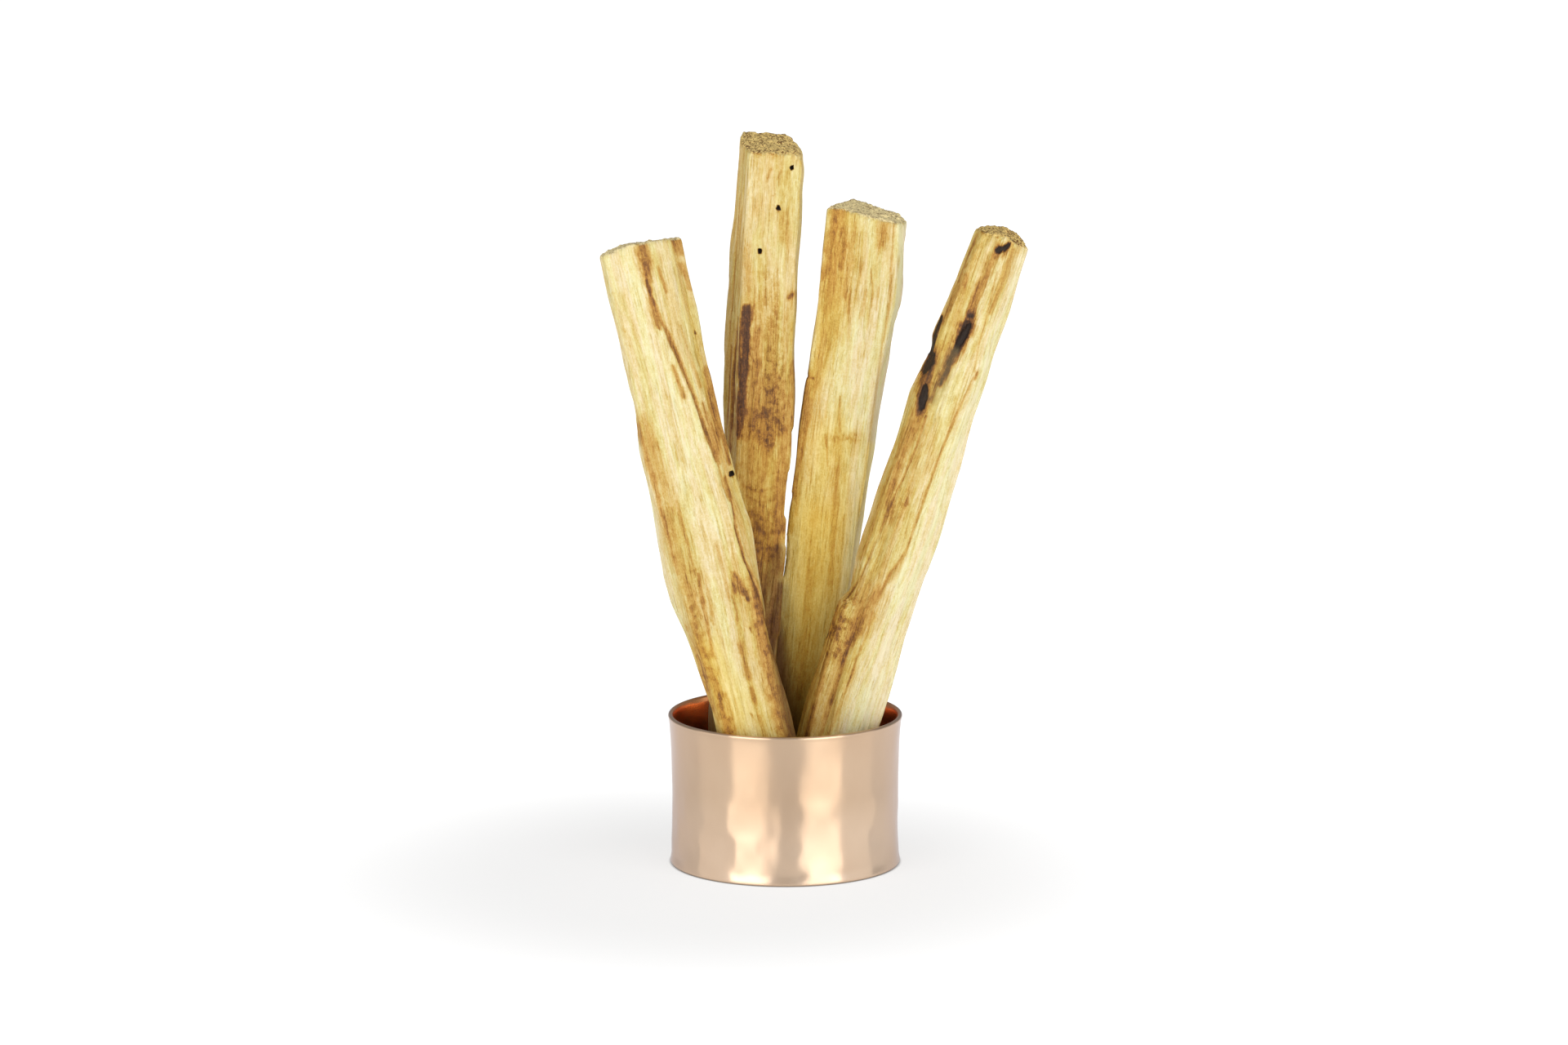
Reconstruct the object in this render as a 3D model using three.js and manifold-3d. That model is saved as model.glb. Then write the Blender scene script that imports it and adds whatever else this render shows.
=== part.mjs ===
// Four split sticks of palo santo wood standing in a small hammered copper cup.
// Millimetres, +Z up. The origin is the middle of the cup's underside and the front faces -Y.

import * as THREE from 'three';
import { mergeVertices } from 'three/addons/utils/BufferGeometryUtils.js';
import Module from 'manifold-3d';

const wasm = await Module();
wasm.setup();

// The cup: one piece of raised copper, a little waisted, with a rounded lip.
const CUP_HEIGHT = 25.9;
const CUP_RIM_RADIUS = 20.0;
const CUP_WAIST_RADIUS = 19.35;
const CUP_BASE_RADIUS = 19.65;
const CUP_WAIST_HEIGHT = 10.0;
const CUP_WALL = 0.85;
const CUP_FLOOR = 1.0;
const CUP_EDGE_ROUNDING = 0.4;
const CUP_INNER_CORNER = 1.2;
const CUP_SEGMENTS = 64;
const CUP_SIDE_HEIGHTS = [3.0, 6.5, 10.0, 13.5, 17.0, 20.5, 23.2];

// The hammer marks: staggered rows of shallow round scoops.
const DENT_ROWS = 4;
const DENTS_PER_ROW = 19;
const DENT_RADIUS = 3.9;
const DENT_DEPTH = 0.09;

// No mark sits exactly in its place: the offset runs through these steps from one to the next.
const DENT_SHUFFLE = 0.35;
const SHUFFLE_PER_ROW = 7.3;
const SHUFFLE_PER_MARK = 2.7;

// Every stick stands on the cup's floor with this clearance below its lowest corner.
const GAP = 0.3;

// How finely a stick's faces and its cut ends are divided.
const RING_SPACING = 4.4;
const CLOSEST_RINGS = 0.9;
const FACE_STEP = 2.3;
const END_RINGS = [0.45, 0.8];

// The slant of the cut head dies out over this length of the stick.
const END_CUT_REACH = 10;

// How far the middle of a face stands out from the chord between its two corner lines.
const FACE_FULLNESS = 0.2;

// The waviness that splitting along the grain leaves on a face: a long swell and a finer one.
const SWELLS = [
  { height: 0.16, along: 0.17, round: 1.9 },
  { height: 0.096, along: 0.459, round: -3.23 },
];

// The torn grain of a cut end.
const END_GRAIN = { height: 0.14, across: 2.3, depth: 2.9, skew: 1.4 };

// Worm holes narrow inwards. Their depth is given in radii.
const HOLE_DEPTH = 8;
const HOLE_TAPER = 0.6;
const HOLE_SIDES = 8;
const PIT_SIDES = 9;
const PIT_RINGS = 6;

const MERGE_DISTANCE = 1e-4;
const QUARTER_ROUND_MIDDLE = 1 - Math.SQRT1_2;

// Each stick is described upright. A corner line is a list of stations, each
// [drop below the head, across to the right, depth away from the front]. The lines
// run anticlockwise seen from above. The head is cut by planes, each
// [drop on the axis, drop per mm across, drop per mm of depth].
const LEFT_STICK = {
  name: 'stick_left',
  foot: [-0.05, -11.2],
  leanRight: -12.9,
  leanForward: 1.2,
  turn: 2.4,
  length: 109.2,
  seed: 1.3,
  lines: [
    [[0, -6.3, -3.2], [25, -6.6, -3.4], [35, -7.4, -3.5], [46, -7.0, -4.0], [62, -6.4, -4.4],
      [80, -4.8, -4.2], [109.2, -4.0, -3.6]],
    [[0, 0.6, -4.8], [15, 0.6, -4.9], [24, 2.4, -4.7], [35, 3.8, -4.6], [55, 4.7, -4.4],
      [62, 5.5, -4.0], [80, 5.3, -3.9], [109.2, 4.8, -3.4]],
    [[0, 7.2, -1.8], [6, 7.0, -1.8], [14, 6.7, -1.7], [22, 6.5, -1.6], [40, 6.8, -1.4],
      [50, 7.3, -1.2], [60, 6.8, -1.2], [70, 6.2, -1.2], [85, 6.7, -1.5], [109.2, 6.0, -1.2]],
    [[0, 5.8, 4.2], [50, 5.4, 4.6], [85, 4.8, 3.9], [109.2, 4.4, 3.2]],
    [[0, -5.4, 4.4], [40, -6.4, 4.8], [60, -6.4, 4.8], [85, -4.4, 4.2], [109.2, -4.0, 3.6]],
    [[0, -7.1, -0.6], [12, -6.8, -0.4], [26, -6.8, -0.4], [30, -7.3, -0.4], [35, -8.1, -0.4],
      [45, -8.0, -0.6], [50, -8.4, -0.8], [56, -8.7, -0.8], [61, -8.3, -0.8], [70, -7.2, -0.8],
      [80, -6.3, -0.6], [109.2, -5.2, 0]],
  ],
  headPlanes: [[-0.25, 0.11, 0.15], [-0.83, -0.19, 0.1]],
  holes: [{ drop: 41.3, across: 6.3, depth: -3.0, radius: 0.45 }],
  scoops: [],
};

const TALL_STICK = {
  name: 'stick_tall',
  foot: [-9.2, -0.2],
  leanRight: 3.3,
  leanForward: 1.8,
  turn: -0.6,
  length: 124.0,
  seed: 2.6,
  lines: [
    [[0, -3.7, -4.9], [19, -3.9, -5.1], [29, -3.6, -5.2], [41, -3.1, -5.2], [60, -3.0, -5.0],
      [124, -3.0, -4.4]],
    [[0, 5.1, -4.2], [4, 5.4, -4.2], [9, 5.2, -4.3], [20, 5.0, -4.4], [28, 5.3, -4.4],
      [35, 5.5, -4.4], [44, 6.0, -4.5], [50, 6.2, -4.5], [60, 6.0, -4.5], [66, 5.9, -4.5],
      [71, 6.1, -4.4], [124, 4.8, -4.0]],
    [[0, 4.8, 4.6], [45, 5.5, 5.0], [124, 4.2, 4.0]],
    [[0, -4.9, 4.6], [45, -5.0, 5.0], [124, -4.0, 4.2]],
    [[0, -5.4, -0.6], [10, -5.7, -0.6], [20, -5.95, -0.6], [36, -6.2, -0.6], [45, -5.8, -0.6],
      [51, -5.1, -0.6], [124, -4.8, -0.4]],
    [[0, -4.4, -2.8], [20, -4.8, -2.8], [30, -4.75, -2.8], [42, -4.3, -2.8], [60, -3.9, -2.8],
      [124, -3.9, -2.4]],
  ],
  headPlanes: [[1.0, 0.0, -0.2], [-2.6, 0.96, 0.05]],
  holes: [
    { drop: 4.1, across: 3.75, depth: -4.6, radius: 0.5 },
    { drop: 11.1, across: 1.7, depth: -4.8, radius: 0.5 },
    { drop: 18.6, across: -1.1, depth: -5.0, radius: 0.45 },
  ],
  scoops: [],
};

const MIDDLE_STICK = {
  name: 'stick_middle',
  foot: [1.05, 7.0],
  leanRight: 6.5,
  leanForward: 6.3,
  turn: -1.3,
  length: 112.9,
  seed: 4.1,
  lines: [
    [[0, -6.4, -3.4], [5, -6.5, -3.5], [10, -6.3, -3.5], [15, -6.2, -3.6], [29, -6.3, -3.6],
      [31, -6.8, -3.7], [41, -7.0, -3.7], [50, -7.0, -3.7], [60, -6.85, -3.7], [72, -6.5, -3.6],
      [112.9, -5.4, -3.2]],
    [[0, 5.7, -4.3], [9, 6.0, -4.3], [14, 6.5, -4.2], [20, 6.0, -4.2], [30, 5.1, -4.3],
      [42, 5.1, -4.3], [63, 4.6, -4.2], [112.9, 4.2, -3.6]],
    [[0, 6.6, -0.8], [5, 6.8, -0.8], [10, 7.3, -0.6], [13.5, 7.75, -0.6], [16, 7.65, -0.6],
      [20.5, 6.9, -0.6], [31, 6.2, -0.6], [36, 5.9, -0.6], [50, 5.7, -0.6], [62, 5.4, -0.6],
      [112.9, 5.0, -0.6]],
    [[0, 5.6, 2.2], [50, 4.6, 4.2], [112.9, 4.0, 3.6]],
    [[0, -2.6, 4.9], [50, -4.2, 4.9], [112.9, -3.8, 4.0]],
    [[0, -5.9, 0.8], [50, -6.2, 1.0], [112.9, -5.0, 0.8]],
  ],
  headPlanes: [[0.2, 0.135, -0.01], [-3.5, -0.68, 0.275]],
  holes: [],
  scoops: [],
};

const RIGHT_STICK = {
  name: 'stick_right',
  foot: [3.15, -2.2],
  leanRight: 16.8,
  leanForward: 6.6,
  turn: -3.3,
  length: 114.1,
  seed: 5.9,
  lines: [
    [[0, -2.6, -3.2], [20, -4.0, -3.5], [30, -4.8, -3.5], [68.2, -4.9, -3.5], [69.4, -6.1, -3.8],
      [92, -5.4, -3.8], [114.1, -4.6, -3.4]],
    [[0, 0.9, -3.9], [9, 0.0, -3.9], [19, -1.2, -3.9], [29, -2.8, -3.8], [45, -2.4, -4.3],
      [70.5, -3.0, -4.4], [114.1, -2.4, -4.0]],
    [[0, 2.6, -4.5], [19, 2.3, -4.8], [23, 3.1, -4.7], [32, 2.1, -4.9], [49, 1.9, -5.1],
      [60, 1.3, -5.1], [72, -0.6, -5.1], [89, -1.5, -5.0], [114.1, -1.0, -4.4]],
    [[0, 5.3, -1.6], [7, 5.4, -1.6], [20, 5.15, -1.6], [36, 5.4, -1.6], [51, 5.8, -1.5],
      [58, 5.9, -1.5], [66, 5.7, -1.5], [76, 6.0, -1.5], [86, 6.0, -1.6], [114.1, 5.5, -1.2]],
    [[0, 3.8, 3.4], [60, 4.4, 4.0], [114.1, 4.0, 3.4]],
    [[0, -2.4, 3.6], [60, -4.6, 4.0], [114.1, -4.4, 3.4]],
    [[0, -4.1, -0.6], [10, -4.5, -0.6], [15, -4.95, -0.6], [20, -5.45, -0.6],
      [24, -5.1, -0.6], [26, -5.7, -0.6], [31, -6.4, -0.6], [41, -6.3, -0.6], [58, -6.5, -0.6],
      [68.2, -5.9, -0.6], [69.4, -7.2, -0.8], [86, -7.2, -0.6], [92, -7.0, -0.6], [114.1, -6.0, -0.4]],
  ],
  headPlanes: [[0.1, -0.22, 0.05], [-0.45, 0.36, 0.04]],
  holes: [],
  scoops: [
    { drop: 22.8, across: -5.5, depth: -1.6, radii: [0.95, 1.8, 1.3] },
    { drop: 17.8, across: -0.9, depth: -4.2, radii: [0.9, 0.8, 3.2] },
    { drop: 30.6, across: -4.1, depth: -3.8, radii: [0.7, 0.7, 2.4] },
    { drop: 1.9, across: 1.1, depth: -4.5, radii: [1.0, 0.7, 1.0] },
  ],
};

const STICKS = [LEFT_STICK, TALL_STICK, MIDDLE_STICK, RIGHT_STICK];

const COPPER = { color: 0xc99a72, roughness: 0.32, metalness: 1.0 };
const PALE_WOOD = { color: 0xe3cb91, roughness: 0.82, metalness: 0.0 };

// Leaves only positions and an index without flat triangles, with shared vertices merged.
function weld(geometry) {
  geometry.deleteAttribute('normal');
  geometry.deleteAttribute('uv');
  const merged = mergeVertices(geometry, MERGE_DISTANCE);
  const index = merged.getIndex().array;
  const kept = [];
  for (let i = 0; i < index.length; i += 3) {
    const [a, b, c] = [index[i], index[i + 1], index[i + 2]];
    if (a !== b && b !== c && c !== a) {
      kept.push(a, b, c);
    }
  }
  merged.setIndex(kept);
  return merged;
}

function toSolid(geometry) {
  const vertProperties = new Float32Array(geometry.getAttribute('position').array);
  const triVerts = new Uint32Array(geometry.getIndex().array);
  return new wasm.Manifold(new wasm.Mesh({ numProp: 3, vertProperties, triVerts }));
}

function fromSolid(solid) {
  const { vertProperties, triVerts } = solid.getMesh();
  const geometry = new THREE.BufferGeometry();
  geometry.setAttribute('position', new THREE.BufferAttribute(vertProperties, 3));
  geometry.setIndex(new THREE.BufferAttribute(triVerts, 1));
  return geometry;
}

// The cup's outer radius: narrowest at the waist, wider at the base and flared at the rim.
function cupRadius(height) {
  if (height < CUP_WAIST_HEIGHT) {
    const down = 1 - height / CUP_WAIST_HEIGHT;
    return CUP_WAIST_RADIUS + (CUP_BASE_RADIUS - CUP_WAIST_RADIUS) * down ** 2;
  }
  const up = (height - CUP_WAIST_HEIGHT) / (CUP_HEIGHT - CUP_WAIST_HEIGHT);
  return CUP_WAIST_RADIUS + (CUP_RIM_RADIUS - CUP_WAIST_RADIUS) * up ** 3;
}

// How far the hammer has pushed the wall in at this place.
function hammered(angle, height) {
  let deepest = 0;
  for (let row = 0; row < DENT_ROWS; row += 1) {
    const rowHeight = CUP_HEIGHT * (row + 0.5) / DENT_ROWS;
    for (let mark = 0; mark < DENTS_PER_ROW; mark += 1) {
      const shuffle = DENT_SHUFFLE * Math.sin(SHUFFLE_PER_ROW * row + SHUFFLE_PER_MARK * mark);
      const centre = (mark + (row % 2) / 2 + shuffle) * 2 * Math.PI / DENTS_PER_ROW;
      const around = Math.atan2(Math.sin(angle - centre), Math.cos(angle - centre));
      const distance = Math.hypot(around * CUP_WAIST_RADIUS, height - rowHeight - shuffle);
      deepest = Math.max(deepest, DENT_DEPTH * (1 - (distance / DENT_RADIUS) ** 2));
    }
  }
  return deepest;
}

function makeCup() {
  const round = CUP_EDGE_ROUNDING;
  const inside = CUP_WAIST_RADIUS - CUP_WALL;
  const inset = CUP_INNER_CORNER * QUARTER_ROUND_MIDDLE;
  const profile = [
    [0, 0],
    [CUP_BASE_RADIUS - round, 0],
    [CUP_BASE_RADIUS, round],
    ...CUP_SIDE_HEIGHTS.map((height) => [cupRadius(height), height]),
    [CUP_RIM_RADIUS, CUP_HEIGHT - round],
    [CUP_RIM_RADIUS - round, CUP_HEIGHT],
    [CUP_RIM_RADIUS - CUP_WALL, CUP_HEIGHT - round],
    ...CUP_SIDE_HEIGHTS.slice(1).reverse().map((height) => [cupRadius(height) - CUP_WALL, height]),
    [inside, CUP_FLOOR + CUP_INNER_CORNER],
    [inside - inset, CUP_FLOOR + inset],
    [inside - CUP_INNER_CORNER, CUP_FLOOR],
    [0, CUP_FLOOR],
  ];
  const geometry = new THREE.LatheGeometry(profile.map(([x, y]) => new THREE.Vector2(x, y)), CUP_SEGMENTS);
  const position = geometry.getAttribute('position');
  const lowest = CUP_SIDE_HEIGHTS[0];
  const highest = CUP_SIDE_HEIGHTS[CUP_SIDE_HEIGHTS.length - 1];
  for (let i = 0; i < position.count; i += 1) {
    const [x, height, y] = [position.getX(i), position.getY(i), -position.getZ(i)];
    const angle = Math.atan2(y, x);
    const isWall = height >= lowest && height <= highest;
    const inward = isWall ? hammered(angle, height) : 0;
    position.setXYZ(i, x - inward * Math.cos(angle), y - inward * Math.sin(angle), height);
  }
  const mesh = new THREE.Mesh(weld(geometry), new THREE.MeshStandardMaterial(COPPER));
  mesh.name = 'copper_cup';
  return mesh;
}

// Where a corner line runs at this drop below the head: straight between its stations.
function lineAt(line, drop) {
  const next = Math.max(1, line.findIndex(([station]) => station >= drop));
  const [from, to] = [line[next - 1], line[next]];
  const part = (drop - from[0]) / (to[0] - from[0]);
  return [from[1] + (to[1] - from[1]) * part, from[2] + (to[2] - from[2]) * part];
}

// The drops at which a stick has a ring of vertices: its stations, and steps between them.
function ringDrops(stick) {
  const stations = new Set(stick.lines.flat().map(([drop]) => drop));
  const sorted = [...stations].sort((a, b) => a - b);
  const spread = sorted.filter((drop, i) => i === 0 || drop - sorted[i - 1] > CLOSEST_RINGS);
  const rings = [];
  spread.forEach((drop, i) => {
    const previous = i === 0 ? drop : spread[i - 1];
    const steps = Math.max(1, Math.ceil((drop - previous) / RING_SPACING));
    for (let k = 1; k <= steps; k += 1) {
      rings.push(previous + (drop - previous) * k / steps);
    }
  });
  return rings;
}

// Every point round the section as a corner line and a part of the way to the next one.
function aroundSection(stick) {
  const halfway = stick.length / 2;
  const points = [];
  stick.lines.forEach((line, side) => {
    const [x0, y0] = lineAt(line, halfway);
    const [x1, y1] = lineAt(stick.lines[(side + 1) % stick.lines.length], halfway);
    const steps = Math.max(1, Math.round(Math.hypot(x1 - x0, y1 - y0) / FACE_STEP));
    for (let k = 0; k < steps; k += 1) {
      points.push({ side, part: k / steps });
    }
  });
  return points;
}

// A point of the stick's side: on the chord between two corner lines, a little full and wavy.
function sidePoint(stick, { side, part }, drop) {
  const [x0, y0] = lineAt(stick.lines[side], drop);
  const [x1, y1] = lineAt(stick.lines[(side + 1) % stick.lines.length], drop);
  const x = x0 + (x1 - x0) * part;
  const y = y0 + (y1 - y0) * part;
  let outward = FACE_FULLNESS * Math.sin(Math.PI * part);
  SWELLS.forEach(({ height, along, round }, k) => {
    outward += height * Math.sin(along * drop + round * (side + part) + (k + 1) * stick.seed);
  });
  const grow = 1 + outward / Math.hypot(x, y);
  return [x * grow, y * grow];
}

// How far below the head's level the cut end lies at this place.
function headCut(stick, x, y) {
  const planes = stick.headPlanes.map(([onAxis, across, depth]) => onAxis + across * x + depth * y);
  const { height, across, depth, skew } = END_GRAIN;
  return Math.max(...planes) + height * Math.sin(across * x + stick.seed) * Math.sin(depth * y + skew * x);
}

function makeStick(stick) {
  const around = aroundSection(stick);
  const rings = ringDrops(stick).reverse();
  const profile = [
    [0, stick.length],
    ...END_RINGS.map((reach) => [reach, stick.length]),
    ...rings.map((drop) => [1, drop]),
    ...[...END_RINGS].reverse().map((reach) => [reach, 0]),
    [0, 0],
  ];
  const points = profile.map(([reach, drop]) => new THREE.Vector2(reach, -drop));
  const geometry = new THREE.LatheGeometry(points, around.length);
  const position = geometry.getAttribute('position');
  for (let i = 0; i < position.count; i += 1) {
    const [reach, drop] = profile[i % profile.length];
    const place = around[Math.floor(i / profile.length) % around.length];
    const [x, y] = sidePoint(stick, place, drop).map((value) => value * reach);
    const fade = Math.max(0, 1 - drop / END_CUT_REACH);
    position.setXYZ(i, x, y, stick.length - drop - fade * headCut(stick, x, y));
  }
  const mesh = new THREE.Mesh(carve(weld(geometry), stick), new THREE.MeshStandardMaterial(PALE_WOOD));
  mesh.name = stick.name;
  return mesh;
}

// Worm holes are bored straight in from the front; scoops are rounded pits.
function carve(geometry, stick) {
  let solid = toSolid(geometry);
  const height = (drop) => stick.length - drop;
  for (const { drop, across, depth, radius } of stick.holes) {
    const bore = new THREE.CylinderGeometry(radius, HOLE_TAPER * radius, HOLE_DEPTH * radius, HOLE_SIDES);
    bore.rotateX(Math.PI);
    bore.translate(across, depth, height(drop));
    solid = solid.subtract(toSolid(weld(bore)));
  }
  for (const { drop, across, depth, radii } of stick.scoops) {
    const pit = new THREE.SphereGeometry(1, PIT_SIDES, PIT_RINGS);
    pit.rotateX(Math.PI / 2);
    pit.scale(...radii);
    pit.translate(across, depth, height(drop));
    solid = solid.subtract(toSolid(weld(pit)));
  }
  return fromSolid(solid);
}

// Leans a stick and sets its foot on the cup's floor.
function standUp(mesh, stick) {
  const radians = THREE.MathUtils.degToRad;
  mesh.rotation.set(radians(stick.leanForward), radians(stick.leanRight), radians(stick.turn), 'YXZ');
  mesh.position.set(stick.foot[0], stick.foot[1], 0);
  mesh.updateMatrixWorld(true);
  const lowest = new THREE.Box3().setFromObject(mesh, true).min.z;
  mesh.position.z = CUP_FLOOR + GAP - lowest;
}

const part = new THREE.Group();
part.add(makeCup());
for (const stick of STICKS) {
  const mesh = makeStick(stick);
  standUp(mesh, stick);
  part.add(mesh);
}

export default part;
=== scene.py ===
"""Four split sticks of palo santo wood standing in a small hammered copper cup."""

import math

import bmesh
import bpy
import numpy as np
from mathutils import Euler, Matrix, Vector
from mathutils.bvhtree import BVHTree


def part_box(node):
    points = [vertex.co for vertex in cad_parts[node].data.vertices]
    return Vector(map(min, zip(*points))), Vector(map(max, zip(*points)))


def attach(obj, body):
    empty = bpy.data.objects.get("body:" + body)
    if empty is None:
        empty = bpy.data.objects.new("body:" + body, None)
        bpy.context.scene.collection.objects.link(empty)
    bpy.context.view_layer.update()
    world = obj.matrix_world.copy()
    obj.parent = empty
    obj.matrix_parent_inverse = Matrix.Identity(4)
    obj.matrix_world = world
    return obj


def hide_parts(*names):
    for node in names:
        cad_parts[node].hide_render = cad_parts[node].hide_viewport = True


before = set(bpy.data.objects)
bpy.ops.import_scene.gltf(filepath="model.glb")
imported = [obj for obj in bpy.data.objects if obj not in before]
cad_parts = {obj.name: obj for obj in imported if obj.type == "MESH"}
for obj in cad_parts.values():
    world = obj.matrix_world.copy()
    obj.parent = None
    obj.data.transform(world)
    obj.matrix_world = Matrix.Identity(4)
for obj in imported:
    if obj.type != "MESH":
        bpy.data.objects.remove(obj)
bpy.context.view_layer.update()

MM = 0.001

# The picture that the marks on the wood were measured in, and the camera that sees the object as it does.
PICTURE_CENTRE = (961.5, 640.0)
FOCAL_PIXELS = 9372.8
PIXELS_PER_MM = 7.175
CAMERA_DISTANCE = 1300.0
CAMERA_ELEVATION = math.radians(10.86)
AIM_HEIGHT = 58.92
AIM_ASIDE = -0.2
LENS = 175.74
SENSOR = 36.0
CAMERA_PLACE = np.array([
    0.0,
    -CAMERA_DISTANCE * math.cos(CAMERA_ELEVATION),
    AIM_HEIGHT + CAMERA_DISTANCE * math.sin(CAMERA_ELEVATION),
])

ORIGIN = (0.0, 0.0, 0.0)
FAR_AWAY = 99.0

# How finely a stick's skin is divided: points around it, and mm between the rows along its side, over its
# head and over its foot. The rays for an end start END_REACH inside it and fan out to END_RADIUS.
AROUND = 256
FINE_ANGLES = 1441
SIDE_STEP = 0.36
END_STEP = 0.3
FOOT_STEP = 0.8
END_REACH = 9.0
END_RADIUS = 6.0
TILT_TOLERANCE = 0.01

# How far the skin is smoothed, in columns and in rows, near an end and along the side.
END_BLUR = (1.0, 0.8)
SIDE_BLUR = (1.6, 1.7)

# The solid's own pits are filled within so many radii of a worm hole, over so many rows and columns to each
# side, and the hole is then bored in the skin.
FILLED_RADII = 3.6
FILLED_ROWS = 4
FILLED_COLUMNS = 6
HOLE_DEPTH = 1.0
HOLE_DARKNESS = 2

# The sizes of the wood's relief in mm: across, in depth and along the stick.
BEND_SIZE = (7, 7, 26)
SLAB_SIZE = (1.7, 1.7, 30)
FIBRE_SIZE = (0.55, 0.55, 9)
THREAD_SIZE = (0.24, 0.24, 3.5)
TORN_SIZE = (0.7, 0.7, 0.9)
CRUMB_SIZE = (0.35, 0.35, 0.5)
TORN_EDGE_SIZE = (0.8, 0.8, 0.8)
HIDDEN_PATCH_SIZE = (6, 6, 24)
TERRACES = 3
CHIP_DEPTH = 0.3

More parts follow.
